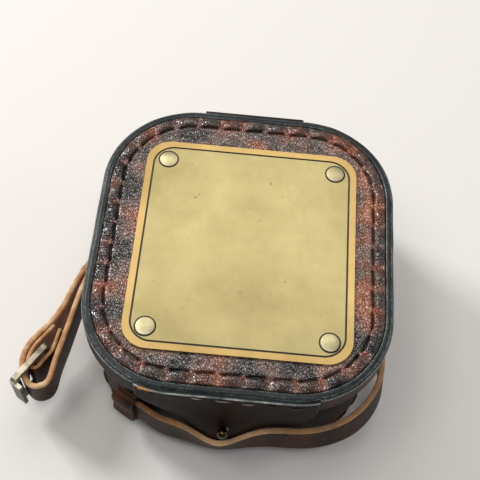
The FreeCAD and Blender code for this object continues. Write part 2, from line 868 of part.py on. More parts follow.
def make_buckle():
    """Slide buckle: a flat frame with a middle bar in the chape and a turned lip."""
    centre = slide_centre
    angle = math.radians(slide_angle)
    ahead = Vector(-math.sin(angle), -math.cos(angle), 0)
    side = Vector(-math.cos(angle), math.sin(angle), 0)
    under = belt_base - slide_window_play - slide_bar
    over = belt_top + slide_window_play + slide_bar
    inner_end = -slide_inner_reach - slide_bar / 2
    outer_end = slide_outer_reach + slide_end_bar / 2

    def in_plane(point):
        return centre + ahead * point.x + side * (slide_bar / 2) + Vector(0, 0, point.y)

    def plate(points):
        face = Part.Face(rounded_polygon(points, in_plane))
        return face.extrude(side * -slide_bar)

    corner = slide_bar * slide_corner_share
    frame = plate([
        (inner_end, under, corner),
        (outer_end, under, corner),
        (outer_end, over, corner),
        (inner_end, over, corner),
    ])
    low = under + slide_bar
    high = over - slide_bar
    inner_window = plate([
        (inner_end + slide_bar, low, 0),
        (-slide_bar / 2, low, 0),
        (-slide_bar / 2, high, 0),
        (inner_end + slide_bar, high, 0),
    ])
    outer_window = plate([
        (slide_bar / 2, low, 0),
        (outer_end - slide_end_bar, low, 0),
        (outer_end - slide_end_bar, high, 0),
        (slide_bar / 2, high, 0),
    ])
    frame = frame.cut(inner_window).cut(outer_window)
    bar_edges = []
    for edge in frame.Edges:
        upright = abs(edge.tangentAt(edge.FirstParameter).z) > 1 - tiny
        from_bar = (edge.CenterOfMass - centre).dot(ahead)
        if upright and abs(abs(from_bar) - slide_bar / 2) < tiny:
            bar_edges.append(edge)
    frame = frame.makeFillet(slide_bar * bar_round_share, bar_edges)
    lip_face = Part.Face(rounded_polygon([
        (outer_end - slide_lip_metal, under + corner, 0),
        (outer_end, under + corner, 0),
        (outer_end, over - corner, 0),
        (outer_end - slide_lip_metal, over - corner, 0),
    ], in_plane))
    lip = lip_face.extrude(side * -(slide_bar + slide_lip))
    keep("slide_buckle", frame.fuse(lip).removeSplitter())


make_body()
make_lid()
make_plate()
make_hinge()
make_belt()
make_loops()
make_tongue()
make_strap()
make_buckle()

os.makedirs("parts", exist_ok=True)
for name, shape in PARTS.items():
    shape.exportStep("parts/" + name + ".step")
    print(name, len(shape.Solids), round(shape.Volume, 1), shape.isValid())
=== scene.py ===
import math
from functools import partial
from itertools import product

import bpy
import numpy as np
from mathutils import Matrix, Vector


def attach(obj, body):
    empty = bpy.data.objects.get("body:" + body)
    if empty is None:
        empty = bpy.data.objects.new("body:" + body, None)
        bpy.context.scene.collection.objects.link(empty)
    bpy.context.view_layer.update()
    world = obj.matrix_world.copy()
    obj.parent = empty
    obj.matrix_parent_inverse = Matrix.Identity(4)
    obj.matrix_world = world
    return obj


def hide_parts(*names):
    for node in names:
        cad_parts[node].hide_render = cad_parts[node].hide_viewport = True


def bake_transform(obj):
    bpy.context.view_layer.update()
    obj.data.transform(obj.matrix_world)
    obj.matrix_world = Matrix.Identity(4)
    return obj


# Sextant box: a hand-stitched leather case with a brass plate on its lid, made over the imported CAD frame.
# Lengths in the dictionaries are millimetres in the CAD's frame, and mm turns them to metres.
mm = 0.001

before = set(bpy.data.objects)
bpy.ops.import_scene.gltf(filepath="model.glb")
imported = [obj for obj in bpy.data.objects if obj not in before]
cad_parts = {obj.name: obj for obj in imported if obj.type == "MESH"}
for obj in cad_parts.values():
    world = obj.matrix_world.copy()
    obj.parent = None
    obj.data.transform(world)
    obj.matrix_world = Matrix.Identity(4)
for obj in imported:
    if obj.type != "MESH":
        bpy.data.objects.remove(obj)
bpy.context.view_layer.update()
print("frame loaded:", len(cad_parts), "nodes")


def toLinear(hexText):
    values = []
    for i in (1, 3, 5):
        part = int(hexText[i:i + 2], 16) / 255
        values.append(part / 12.92 if part <= 0.04045 else ((part + 0.055) / 1.055) ** 2.4)
    return (*values, 1.0)


def setStops(ramp, stops):
    # each stop: place, and a hex colour or a grey level
    while len(ramp.elements) < len(stops):
        ramp.elements.new(0.5)
    for element, (place, colour) in zip(ramp.elements, stops):
        element.position = place
        element.color = toLinear(colour) if isinstance(colour, str) else (colour,) * 3 + (1,)


def addNode(tree, kind, values=(), links=()):
    # values: settings, colour stops and unlinked sockets
    # links: socket to its source, which is a socket too, or a node whose first live output is meant
    node = tree.nodes.new("ShaderNode" + kind)
    for key, value in dict(values).items():
        if key == "stops":
            setStops(node.color_ramp, value)
        elif isinstance(key, str) and hasattr(node, key):
            setattr(node, key, value)
        else:
            node.inputs[key].default_value = toLinear(value) if isinstance(value, str) else value
    for key, source in dict(links).items():
        live = [socket for socket in getattr(source, "outputs", [source]) if socket.enabled]
        tree.links.new(live[0], node.inputs[key])
    return node


def scaleFor(sizeMm):
    # texture scale that gives a pattern of this real size
    return 1 / (sizeMm * mm)


def ease(value):
    v = np.clip(value, 0, 1)
    return v * v * (3 - 2 * v)


def bell(value, width):
    return np.exp(-(np.asarray(value) / width) ** 2)


def hashGrid(ix, iy, iz, seed):
    value = np.sin(ix * 127.1 + iy * 311.7 + iz * 74.7 + seed * 53.3) * 43758.5453
    return value - np.floor(value)


def softNoise(points, sizeMm, seed):
    # smooth noise from -1 to 1 on points in mm
    p = np.asarray(points, float) / sizeMm
    cell = np.floor(p)
    f = ease(p - cell)
    total = 0
    for step in product((0, 1), repeat=3):
        share = np.where(step, f, 1 - f)
        total = total + share.prod(-1) * hashGrid(*np.moveaxis(cell + step, -1, 0), seed)
    return total * 2 - 1


def pick(thing):
    bpy.ops.object.select_all(action="DESELECT")
    thing.select_set(True)
    bpy.context.view_layer.objects.active = thing


def makeObject(name, verts, faces, materials, faceMaterial=None, attributes=()):
    # verts in mm
    mesh = bpy.data.meshes.new(name)
    mesh.from_pydata((np.asarray(verts) * mm).tolist(), [], faces)
    for material in materials:
        mesh.materials.append(material)
    if faceMaterial is not None:
        mesh.polygons.foreach_set("material_index", np.asarray(faceMaterial, np.int32))
    mesh.polygons.foreach_set("use_smooth", np.ones(len(mesh.polygons), bool))
    for key, values in dict(attributes).items():
        layer = mesh.attributes.new(key, "FLOAT", "POINT")
        layer.data.foreach_set("value", np.asarray(values, np.float32).ravel())
    mesh.update()
    mesh.validate()
    thing = bpy.data.objects.new(name, mesh)
    bpy.context.scene.collection.objects.link(thing)
    # all faces look outward
    pick(thing)
    bpy.ops.object.mode_set(mode="EDIT")
    bpy.ops.mesh.select_all(action="SELECT")
    bpy.ops.mesh.normals_make_consistent(inside=False)
    bpy.ops.object.mode_set(mode="OBJECT")
    return thing


def gridFaces(rows, columns, closeRows, closeColumns, start=0):
    faces = []
    for i in range(rows if closeRows else rows - 1):
        a = start + i * columns
        b = start + ((i + 1) % rows) * columns
        for j in range(columns if closeColumns else columns - 1):
            k = (j + 1) % columns
            faces.append((a + j, b + j, b + k, a + k))
    return faces


def sweptPiece(name, rings, materials, sides, closed=False, attributes=()):
    # rings: rows of closed section loops, closed into a hoop or capped with cut edges, the second material
    # sides: the material of each stretch of the section
    rows, columns = rings.shape[:2]
    faces = gridFaces(rows, columns, closed, True)
    index = list(np.tile(sides, rows if closed else rows - 1))
    if not closed:
        faces.append(tuple(range(columns)))
        faces.append(tuple(reversed(range((rows - 1) * columns, rows * columns))))
        index += [1, 1]
    return makeObject(name, rings.reshape(-1, 3), faces, materials, index, attributes)


def roundedStrip(width, thickness, radius, across, arc=3):
    # section of a strap: points (across the width, through the thickness), and the side of each stretch:
    # 0 for the face, 1 for the cut edges and their corners, 2 for the flesh side
    w, t, r = width / 2, thickness / 2, radius
    points, section, sides = [], [], []
    corners = [(w - r, t - r, 0), (-w + r, t - r, 90), (-w + r, -t + r, 180), (w - r, -t + r, 270)]
    for cx, cy, start in corners:
        for k in range(arc + 1):
            angle = math.radians(start + 90 * k / arc)
            points.append((cx + r * math.cos(angle), cy + r * math.sin(angle)))
    for i, here in enumerate(points):
        atEnd = i % (arc + 1) == arc
        side = (0, 1, 2, 1)[i // (arc + 1)] if atEnd else 1
        steps = 1 if not atEnd else 2 if side == 1 else across
        ahead = points[(i + 1) % len(points)]
        for k in range(steps):
            share = k / steps
            section.append((here[0] + (ahead[0] - here[0]) * share, here[1] + (ahead[1] - here[1]) * share))
            sides.append(side)
    return np.array(section), sides


def smoothPath(points, count):
    # cubic line through the points, cut into evenly spaced ones
    p = np.asarray(points, float)
    t = np.concatenate([[0], np.cumsum(np.linalg.norm(np.diff(p, axis=0), axis=1))])
    n = len(p)
    h = np.diff(t)
    system = np.zeros((n, n))
    right = np.zeros((n, p.shape[1]))
    system[0, 0] = system[-1, -1] = 1
    for i in range(1, n - 1):
        system[i, i - 1:i + 2] = h[i - 1], 2 * (h[i - 1] + h[i]), h[i]
        right[i] = 6 * ((p[i + 1] - p[i]) / h[i] - (p[i] - p[i - 1]) / h[i - 1])
    bend = np.linalg.solve(system, right)
    s = np.linspace(0, t[-1], count * 4)
    k = np.clip(np.searchsorted(t, s, side="right") - 1, 0, n - 2)
    a = ((t[k + 1] - s) / h[k])[:, None]
    b = ((s - t[k]) / h[k])[:, None]
    curl = ((a ** 3 - a) * bend[k] + (b ** 3 - b) * bend[k + 1]) * (h[k] ** 2)[:, None] / 6
    line = a * p[k] + b * p[k + 1] + curl
    run = np.concatenate([[0], np.cumsum(np.linalg.norm(np.diff(line, axis=0), axis=1))])
    even = np.linspace(0, run[-1], count)
    return np.stack([np.interp(even, run, line[:, i]) for i in range(p.shape[1])], 1)


def carriedAlong(route, count, section):
    # a strap's thickness carried along a route in a plane: one row for each point of the route
    line = smoothPath(route, count)
    way = np.gradient(line, axis=0)
    way /= np.linalg.norm(way, axis=1)[:, None]
    side = np.stack([way[:, 1], -way[:, 0]], 1)
    return line[:, None, :] + side[:, None, :] * section[None, :, 1:2]


def waveEdges(rings, section, waves, seed):
    # a standing strap's two edges rise and fall, and its middle stays
    total = 0
    for i, (height, length, differ) in enumerate(waves):
        total = total + height * softNoise(rings * np.array([1, 1, differ]), length, seed + i)
    half = section[:, 0].max()
    rings[..., 2] += total * (np.abs(section[:, 0]) / half)[None, :] ** 2


def withHeight(flat, heights):
    # rings from points in plan and one height for each column
    return np.concatenate([flat, np.broadcast_to(heights[None, :, None], (*flat.shape[:2], 1))], 2)


def threadRow(name, stitches, radiusMm, material, body, plies=7):
    # each stitch: points in mm from hole to hole, made as a tube with pinched ends
    verts, faces = [], []
    for points in stitches:
        line = smoothPath(points, 9)
        ahead = np.gradient(line, axis=0)
        ahead /= np.linalg.norm(ahead, axis=1)[:, None]
        # any direction that no stitch runs along
        side = np.cross(ahead, (0.31, 0.17, 0.93))
        side /= np.linalg.norm(side, axis=1)[:, None]
        up = np.cross(side, ahead)
        start = len(verts)
        for i, centre in enumerate(line):
            share = i / (len(line) - 1)
            size = radiusMm * (0.72 + 0.28 * math.sin(math.pi * share))
            for k in range(plies):
                angle = 2 * math.pi * k / plies + share * 1.2
                verts.append(centre + (side[i] * math.cos(angle) + up[i] * math.sin(angle)) * size)
        faces += gridFaces(len(line), plies, False, True, start)
        faces.append(tuple(range(start, start + plies)))
        faces.append(tuple(reversed(range(len(verts) - plies, len(verts)))))
    thing = makeObject(name, verts, faces, [material])
    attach(thing, body)


def dress(node, material, bevelMm=0.0):
    # a CAD node whose shape is right gets its real material
    # with a bevel, its edges are broken as by filing
    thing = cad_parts[node]
    thing.data.materials.clear()
    thing.data.materials.append(material)
    if bevelMm:
        weld = thing.modifiers.new("weld", "WELD")
        weld.merge_threshold = 0.002 * mm
        bevel = thing.modifiers.new("bevel", "BEVEL")
        bevel.width = bevelMm * mm
        bevel.segments = 2
        bevel.limit_method = "ANGLE"
        bevel.angle_limit = math.radians(35)


# the case's plan: straight stretches and round corners, the same for wall and lid
plan = {
    "wallCorner": 34.8, "lidCorner": 38.8, "straightFront": 23.2, "straightSide": 27.2,
    "caseTop": 58.0, "skirtBase": 46.0,
}


def planLegs(corner):
    # once round from the front centre to the right: length, first angle, core, way along (None on an arc)
    sf, ss = plan["straightFront"], plan["straightSide"]
    arc = corner * math.pi / 2
    return [
        (sf, -90, (0, -ss), (1, 0)), (arc, -90, (sf, -ss), None), (2 * ss, 0, (sf, -ss), (0, 1)),
        (arc, 0, (sf, ss), None), (2 * sf, 90, (sf, ss), (-1, 0)), (arc, 90, (-sf, ss), None),
        (2 * ss, 180, (-sf, ss), (0, -1)), (arc, 180, (-sf, -ss), None), (sf, 270, (-sf, -ss), (1, 0)),
    ]


def track(corner, step):
    # points once round the plan: the core, outward direction and run of each, and the whole run
    cores, ways, runs = [], [], []
    run = 0
    for length, first, core, along in planLegs(corner):
        count = max(2, int(round(length / step)))
        for i in range(count):
            share = i / count
            turn = math.radians(first if along else first + 90 * share)
            ahead = along or (0, 0)
            cores.append((core[0] + ahead[0] * length * share, core[1] + ahead[1] * length * share))
            ways.append((math.cos(turn), math.sin(turn)))
            runs.append(run + length * share)
        run += length
    return np.array(cores), np.array(ways), np.array(runs), run


def hoopRings(corner, look):
    # the section (inset, height) carried once round the plan, and the outward direction of each row
    cores, ways = track(corner, look["step"])[:2]
    section = np.array(look["section"])
    flat = cores[:, None, :] + ways[:, None, :] * (corner - section[:, 0])[None, :, None]
    return withHeight(flat, section[:, 1]), ways, section


def wallPoint(run, out, z):
    # point off the wall, at a run from the front centre to the right
    run = np.asarray(run, float)
    corner = plan["wallCorner"]
    legs = planLegs(corner)
    left = np.mod(run, sum(leg[0] for leg in legs))
    x, y, angle = np.zeros((3, *left.shape))
    place = 0
    for length, first, core, along in legs:
        on = (left >= place) & (left <= place + length)
        step = left - place
        ahead = along or (0, 0)
        angle = np.where(on, math.radians(first) + (0 if along else step / corner), angle)
        x = np.where(on, core[0] + ahead[0] * step, x)
        y = np.where(on, core[1] + ahead[1] * step, y)
        place += length
    reach = corner + out
    return np.stack([x + np.cos(angle) * reach, y + np.sin(angle) * reach, z + 0 * run], -1)


def newMaterial(name):
    # gives the material, addNode for its tree, and the link that tells a texture its place on the object
    material = bpy.data.materials.new(name)
    material.use_nodes = True
    material.node_tree.nodes.clear()
    add = partial(addNode, material.node_tree)
    return material, add, {"Vector": add("TexCoord").outputs["Object"]}


def finishMaterial(add, values, links=()):
    add("OutputMaterial", (), {"Surface": add("BsdfPrincipled", values, links)})


def cloudyTone(add, at, look, detail, rough):
    # soft clouds of the tones, as dye, wax and tarnish lie
    cloud = add("TexNoise", {"Scale": scaleFor(look["cloudMm"]), "Detail": detail, "Roughness": rough}, at)
    return add("ValToRGB", {"stops": look["tones"]}, {"Fac": cloud})


def waxedLeather(name, look):
    # vegetable-tanned skin, dyed, rubbed back and waxed: dark dye stays in the pores, painted shade darkens
    # the creases, and the raised skin shows redder and shinier
    material, add, at = newMaterial(name)
    tone = cloudyTone(add, at, look, look["cloudDetail"], 0.62)
    fleck = add("TexNoise", {"Scale": scaleFor(look["fleckMm"]), "Detail": 3, "Roughness": 0.7}, at)
    fleckTone = add("ValToRGB", {"stops": [(0.35, 0.55), (0.7, 1.0)]}, {"Fac": fleck})
    dyed = add("Mix", {"data_type": "RGBA", "blend_type": "MULTIPLY", 0: look["fleckShare"]},
               {6: tone, 7: fleckTone})
    # stretched skin beside the stitches, where the dye has rubbed off
    pull = add("Attribute", {"attribute_name": "pull"}).outputs["Fac"]
    flare = add("Math", {"operation": "MULTIPLY"}, {0: pull, 1: fleckTone})
    flared = add("Mix", {"data_type": "RGBA", 7: look["flare"]}, {0: flare, 6: dyed})
    # painted shade: where a piece gives a shade share, the pore and shade tone is laid over the dye
    shade = add("Attribute", {"attribute_name": "shade"}).outputs["Fac"]
    shaded = add("Mix", {"data_type": "RGBA", 7: look["poreAndShadeTone"]}, {0: shade, 6: flared})
    # pebbled grain, bent out of its even cells
    drift = add("TexNoise", {"Scale": scaleFor(look["grainMm"] * 3), "Detail": 1}, at).outputs["Color"]
    bent = add("VectorMath", {"operation": "MULTIPLY_ADD", 1: (look["grainMm"] * 1.4 * mm,) * 3},
               {0: drift, 2: at["Vector"]})
    turned = add("Mapping", {"Rotation": (0, 0, 0.9), "Scale": (1, 0.55, 1)}, {"Vector": bent})
    grain = add("TexVoronoi", {"feature": "DISTANCE_TO_EDGE", "Scale": scaleFor(look["grainMm"])},
                {"Vector": turned})
    cell = add("ValToRGB", {"stops": [(0.0, 0.0), (0.09, 0.6), (0.3, 1.0)]}, {"Fac": grain})
    pore = add("Mix", {"data_type": "RGBA", 6: look["poreAndShadeTone"]}, {0: cell, 7: shaded})
    skinTone = add("Mix", {"data_type": "RGBA", 0: look["poreShare"]}, {6: shaded, 7: pore})
    fine = add("TexNoise", {"Scale": scaleFor(look["grainMm"] * 0.45), "Detail": 2}, at)
    height = add("Math", {"operation": "MULTIPLY_ADD", 1: 0.14}, {0: fine, 2: cell})
    # wax fills the grain a little, so its own surface is smoother
    bump, waxBump = (add("Bump", {"Strength": look["bump"] * share, "Distance": look["grainDeepMm"] * mm},
                         {"Height": height}) for share in (1, look["waxGrain"]))
    gloss = add("MapRange", {"To Min": look["rough"][0], "To Max": look["rough"][1]}, {"Value": fleck})
    # the wax lies thicker in some places, so the sheen comes and goes, and little shines down in the pores
    waxGloss = add("MapRange", {"From Min": 0.3, "From Max": 0.7, "To Min": look["coatRough"] * 0.7,
                                "To Max": look["coatRough"] * 1.5}, {"Value": fleck})
    raised = add("Math", {"operation": "MULTIPLY_ADD", 1: look["dull"], 2: 1 - look["dull"]}, {0: cell})
    uneven = add("MapRange", {"From Min": 0.36, "From Max": 0.62, "To Min": look["waxLow"], "To Max": 1},
                 {"Value": fleck})
    lit = add("Math", {"operation": "MULTIPLY"}, {0: raised, 1: uneven})
    skin = add("Math", {"operation": "MULTIPLY", 1: look["spec"]}, {0: lit})
    wax = add("Math", {"operation": "MULTIPLY", 1: look["coat"]}, {0: lit})
    finishMaterial(add, {"IOR": 1.5, "Coat IOR": 1.75},
                   {"Base Color": skinTone, "Roughness": gloss, "Specular IOR Level": skin, "Normal": bump,
                    "Coat Weight": wax, "Coat Roughness": waxGloss, "Coat Normal": waxBump})
    return material


def cutLeather(name, look):
    # the cut edge or the flesh side: no grain skin, loose fibres, so it is matt and pale
    # single fibres are too fine to show, so they are drawn as tufts
    material, add, at = newMaterial(name)
    tone = cloudyTone(add, at, look, 4, 0.6)
    fibre = add("TexNoise", {"Scale": scaleFor(look["fibreMm"]), "Detail": 3, "Roughness": 0.75}, at)
    fibreTone = add("ValToRGB", {"stops": [(0.3, look["fibreDark"]), (0.65, 1.0)]}, {"Fac": fibre})
    # painted light: a pale tone, by a share that the piece gives along its edge, used on the belt's rim
    rub = add("Attribute", {"attribute_name": "rub"}).outputs["Fac"]
    paleWearAndLight = add("Mix", {"data_type": "RGBA", 7: look.get("paleWearAndLight", "#e9c6a2")}, {0: rub, 6: tone})
    mixed = add("Mix", {"data_type": "RGBA", "blend_type": "MULTIPLY", 0: 1.0}, {6: paleWearAndLight, 7: fibreTone})
    bump = add("Bump", {"Strength": look["bump"], "Distance": look["fibreMm"] * 0.5 * mm}, {"Height": fibre})
    finishMaterial(add, {"IOR": 1.45, "Roughness": look["rough"], "Sheen Weight": look["sheen"]},
                   {"Base Color": mixed, "Normal": bump})
    return material


def burnishedEdge(name, look):
    # layers of cut leather dyed black and rubbed with wax: smooth and semi-gloss, grey where it is worn
    # and where a painted highlight lies on its ridges
    material, add, at = newMaterial(name)
    tone = cloudyTone(add, at, look, 5, 0.65)
    # wear and painted highlight: pale grey on the corners and ridges that the section marks
    worn = add("Attribute", {"attribute_name": "worn"}).outputs["Fac"]
    speck = add("TexNoise", {"Scale": scaleFor(look["speckMm"]), "Detail": 3, "Roughness": 0.7}, at)
    speckShare = add("MapRange", {"From Min": 0.44, "From Max": 0.62, "To Min": 0.2}, {"Value": speck})
    share = add("Math", {"operation": "MULTIPLY"}, {0: worn, 1: speckShare})
    mixed = add("Mix", {"data_type": "RGBA", 7: look["edgeWearAndHighlightTone"]}, {0: share, 6: tone})
    bump = add("Bump", {"Strength": look["bump"], "Distance": 0.12 * mm}, {"Height": speck})
    gloss = add("MapRange", {"To Min": look["rough"][0], "To Max": look["rough"][1]}, {"Value": speck})
    finishMaterial(add, {"IOR": 1.5, "Specular IOR Level": 0.28, "Coat Weight": 0.08, "Coat Roughness": 0.2},
                   {"Base Color": mixed, "Roughness": gloss, "Normal": bump, "Coat Normal": bump})
    return material


def scratchedFinish(add, at, look):
    # roughness and normal from the scratches of polishing and handling, drawn coarser than real ones,
    # which are too fine to show
    stretch = add("Mapping", {"Scale": look["scratchWay"]}, at)
    scratch = add("TexNoise", {"Scale": scaleFor(look["scratchMm"]), "Detail": 4, "Roughness": 0.7},
                  {"Vector": stretch})
    gloss = add("MapRange", {"To Min": look["rough"][0], "To Max": look["rough"][1]}, {"Value": scratch})
    bump = add("Bump", {"Strength": look["bump"], "Distance": 0.03 * mm}, {"Height": scratch})
    return {"Roughness": gloss, "Normal": bump}


def agedBrass(name, look):
    # brass, polished and then handled: warm metal with tarnish in soft clouds
    material, add, at = newMaterial(name)
    colour = cloudyTone(add, at, look, 5, 0.6)
    if "tarnishAndShade" in look:
        # painted shade: below the given heights the metal is darkened towards the bottom
        level = add("SeparateXYZ", (), at).outputs["Z"]
        low, high = look["paintedShadeFade"]
        left = add("MapRange", {"From Min": low * mm, "From Max": high * mm, "To Min": look["paintedShadeShare"],
                                "To Max": 0}, {"Value": level})
        colour = add("Mix", {"data_type": "RGBA", 7: look["tarnishAndShade"]}, {0: left, 6: colour})
    finishMaterial(add, {"Metallic": 1.0}, {"Base Color": colour, **scratchedFinish(add, at, look)})
    return material


def engravedBrass(name, look):
    # the plate: a polished field inside an engraved line filled with black wax, and a yellower rim outside
    material, add, at = newMaterial(name)
    split = add("SeparateXYZ", (), at)
    edges = []
    for axis, centre, half in zip("XY", look["centre"], look["half"]):
        moved = add("Math", {"operation": "SUBTRACT", 1: centre * mm}, {0: split.outputs[axis]})
        size = add("Math", {"operation": "ABSOLUTE"}, {0: moved})
        edges.append(add("Math", {"operation": "SUBTRACT", 1: (half - look["corner"]) * mm}, {0: size}))
    # distance from the engraved line, a rectangle with round corners
    outside = [add("Math", {"operation": "MAXIMUM", 1: 0}, {0: edge}) for edge in edges]
    joined = add("CombineXYZ", (), {"X": outside[0], "Y": outside[1]})
    far = add("VectorMath", {"operation": "LENGTH"}, {0: joined})
    near = add("Math", {"operation": "MAXIMUM"}, {0: edges[0], 1: edges[1]})
    near = add("Math", {"operation": "MINIMUM", 1: 0}, {0: near})
    field = add("Math", {"operation": "ADD"}, {0: far, 1: near})
    fromLine = add("Math", {"operation": "SUBTRACT", 1: look["corner"] * mm}, {0: field})
    offLine = add("Math", {"operation": "ABSOLUTE"}, {0: fromLine})
    inLine = add("MapRange", {"From Min": look["lineHalf"] * mm, "From Max": (look["lineHalf"] + 0.08) * mm,
                              "To Min": 1, "To Max": 0}, {"Value": offLine})
    onRim = add("MapRange", {"From Min": 0, "From Max": 0.3 * mm}, {"Value": fromLine})
    cloud = add("TexNoise", {"Scale": scaleFor(look["cloudMm"]), "Detail": 5, "Roughness": 0.62}, at)
    fieldTone = add("ValToRGB", {"stops": look["fieldTones"]}, {"Fac": cloud})
    rimTone = add("ValToRGB", {"stops": look["rimTones"]}, {"Fac": cloud})
    metal = add("Mix", {"data_type": "RGBA"}, {0: onRim, 6: fieldTone, 7: rimTone})
    # a few small flecks of brown tarnish
    fleck = add("TexNoise", {"Scale": scaleFor(look["fleckMm"]), "Detail": 2, "Roughness": 0.5}, at)
    fleckShare = add("MapRange", {"From Min": 0.71, "From Max": 0.79, "To Max": 0.6}, {"Value": fleck})
    flecked = add("Mix", {"data_type": "RGBA", 7: look["tarnishAndShade"]}, {0: fleckShare, 6: metal})
    filled = add("Mix", {"data_type": "RGBA", 7: look["wax"]}, {0: inLine, 6: flecked})
    shine = add("Math", {"operation": "SUBTRACT", 0: 1.0}, {1: inLine})
    finishMaterial(add, {}, {"Base Color": filled, "Metallic": shine, **scratchedFinish(add, at, look)})
    return material


def waxedThread(name, look):
    # linen thread pulled through wax: dull, with a little fuzz
    # its plies are too fine to show, so the tone changes in far longer waves along it
    material, add, at = newMaterial(name)
    wave = {"Scale": scaleFor(look["toneMm"]), "Distortion": 1.5, "bands_direction": "DIAGONAL"}
    ply = add("TexWave", wave, at).outputs["Fac"]
    tone = add("ValToRGB", {"stops": look["tones"]}, {"Fac": ply})
    bump = add("Bump", {"Strength": 0.5, "Distance": 0.1 * mm}, {"Height": ply})
    finishMaterial(add, {"Roughness": 0.6, "Sheen Weight": 0.2}, {"Base Color": tone, "Normal": bump})
    return material


# the lid's skin: high gloss on big soft patches, strong pebble grain
lidLeather = waxedLeather("waxed oxblood goatskin", {
    "cloudMm": 15, "cloudDetail": 1.5, "fleckMm": 2.6, "fleckShare": 0.6, "flare": "#b8432a",
    "grainMm": 0.85, "grainDeepMm": 0.27, "bump": 1.0, "poreAndShadeTone": "#0b0708", "poreShare": 0.62,
    "tones": [(0.36, "#2f2624"), (0.46, "#786157"), (0.54, "#946a59"), (0.62, "#ae6244"), (0.74, "#cb8458")],
    "rough": (0.24, 0.38), "spec": 1.0, "coat": 1.0,
    "coatRough": 0.15, "waxGrain": 0.32, "dull": 1.0, "waxLow": 0.5,
})
# the wall's skin: red-brown and only a little shiny
sideLeather = waxedLeather("waxed red-brown side leather", {
    "cloudMm": 22, "cloudDetail": 4, "fleckMm": 3.0, "fleckShare": 0.6, "flare": "#7c4430",
    "grainMm": 0.9, "grainDeepMm": 0.07, "bump": 0.45, "poreAndShadeTone": "#0c0807", "poreShare": 0.5,
    "tones": [(0.35, "#1d0f08"), (0.5, "#351c0f"), (0.62, "#4c2816"), (0.75, "#693922")],
    "rough": (0.34, 0.58), "spec": 0.14, "coat": 0.05,
    "coatRough": 0.28, "waxGrain": 0.5, "dull": 0.35, "waxLow": 0.8,
})
# the tongue's skin: nearly black, satin
tongueLeather = waxedLeather("waxed dark tongue leather", {
    "cloudMm": 20, "cloudDetail": 4, "fleckMm": 3.0, "fleckShare": 0.6, "flare": "#5a3022",
    "grainMm": 0.9, "grainDeepMm": 0.06, "bump": 0.4, "poreAndShadeTone": "#0b0807", "poreShare": 0.45,
    "tones": [(0.35, "#130a05"), (0.5, "#201108"), (0.62, "#2f170b"), (0.75, "#402110")],
    "rough": (0.4, 0.62), "spec": 0.1, "coat": 0.02,
    "coatRough": 0.3, "waxGrain": 0.5, "dull": 0.3, "waxLow": 0.8,
})
# skin of belt, loops, strap and hinge: dark brown, satin
strapLeather = waxedLeather("waxed brown strap leather", {
    "cloudMm": 18, "cloudDetail": 4, "fleckMm": 3.0, "fleckShare": 0.55, "flare": "#7c4c34",
    "grainMm": 0.9, "grainDeepMm": 0.06, "bump": 0.4, "poreAndShadeTone": "#100a08", "poreShare": 0.45,
    "tones": [(0.35, "#221209"), (0.5, "#3c200d"), (0.62, "#532d15"), (0.75, "#714224")],
    "rough": (0.36, 0.58), "spec": 0.14, "coat": 0.04,
    "coatRough": 0.3, "waxGrain": 0.5, "dull": 0.3, "waxLow": 0.8,
})
# the lid's rim: black-teal, with pale wear and painted highlights on its corners and ridges
edgeBlack = burnishedEdge("burnished black edge", {
    "cloudMm": 9, "speckMm": 0.9, "tones": [(0.35, "#040b0d"), (0.55, "#0a181b"), (0.72, "#1b2f33")],
    "edgeWearAndHighlightTone": "#dde7e4", "bump": 0.9, "rough": (0.24, 0.5),
})
# undyed tan, dry and warm
rawEdge = cutLeather("raw cut edge of tan leather", {
    "cloudMm": 9, "fibreMm": 0.8, "tones": [(0.32, "#99633a"), (0.5, "#d09a66"), (0.68, "#f3d2a5")],
    "fibreDark": 0.72, "bump": 0.5, "rough": 0.72, "sheen": 0.15,
})
# the belt's upper edge: brown, made paler with painted light at the V and along the right
beltRim = cutLeather("cut edge of the belt, with painted light at the front", {
    "cloudMm": 9, "fibreMm": 0.8, "tones": [(0.34, "#5b361c"), (0.5, "#8a562e"), (0.66, "#b98048")],
    "paleWearAndLight": "#f6c994", "fibreDark": 0.66, "bump": 0.5, "rough": 0.68, "sheen": 0.1,
})
# a nick in the dyed edge that shows the bright leather under it
orangeEdge = cutLeather("freshly cut orange-tan edge", {
    "cloudMm": 5, "fibreMm": 0.8, "tones": [(0.3, "#b56f2e"), (0.5, "#e39a4a"), (0.7, "#f8c078")],
    "fibreDark": 0.62, "bump": 0.5, "rough": 0.72, "sheen": 0.1,
})
# a painted highlight: a thin pale line along the tongue's top corners
paintedHighlightEdge = cutLeather("grey edge with painted highlight", {
    "cloudMm": 6, "fibreMm": 0.7, "tones": [(0.32, "#4c5452"), (0.5, "#9ba3a0"), (0.68, "#e6ebe8")],
    "fibreDark": 0.5, "bump": 0.5, "rough": 0.55, "sheen": 0.05,
})
# edge dyed like the skin, so that it doesn't stand out
darkEdge = cutLeather("dyed dark edge", {
    "cloudMm": 6, "fibreMm": 0.7, "tones": [(0.3, "#15100d"), (0.5, "#241a15"), (0.7, "#3a2a21")],
    "fibreDark": 0.6, "bump": 0.4, "rough": 0.6, "sheen": 0.05,
})
# inner side of wall, skirt, belt, loops, tongue and hinge, and both welts: dusty and quite matt
fleshSide = cutLeather("suede flesh side", {
    "cloudMm": 9, "fibreMm": 0.7, "tones": [(0.3, "#4b4133"), (0.5, "#71634d"), (0.7, "#96866c")],
    "fibreDark": 0.6, "bump": 0.6, "rough": 0.92, "sheen": 0.3,
})
# inner side of the strap and of the piece that holds its slide: paler and redder
paleFlesh = cutLeather("suede flesh side of the strap", {
    "cloudMm": 9, "fibreMm": 0.7, "tones": [(0.3, "#8a5a40"), (0.5, "#b57e5c"), (0.7, "#d3a17c")],
    "fibreDark": 0.65, "bump": 0.5, "rough": 0.88, "sheen": 0.25,
})
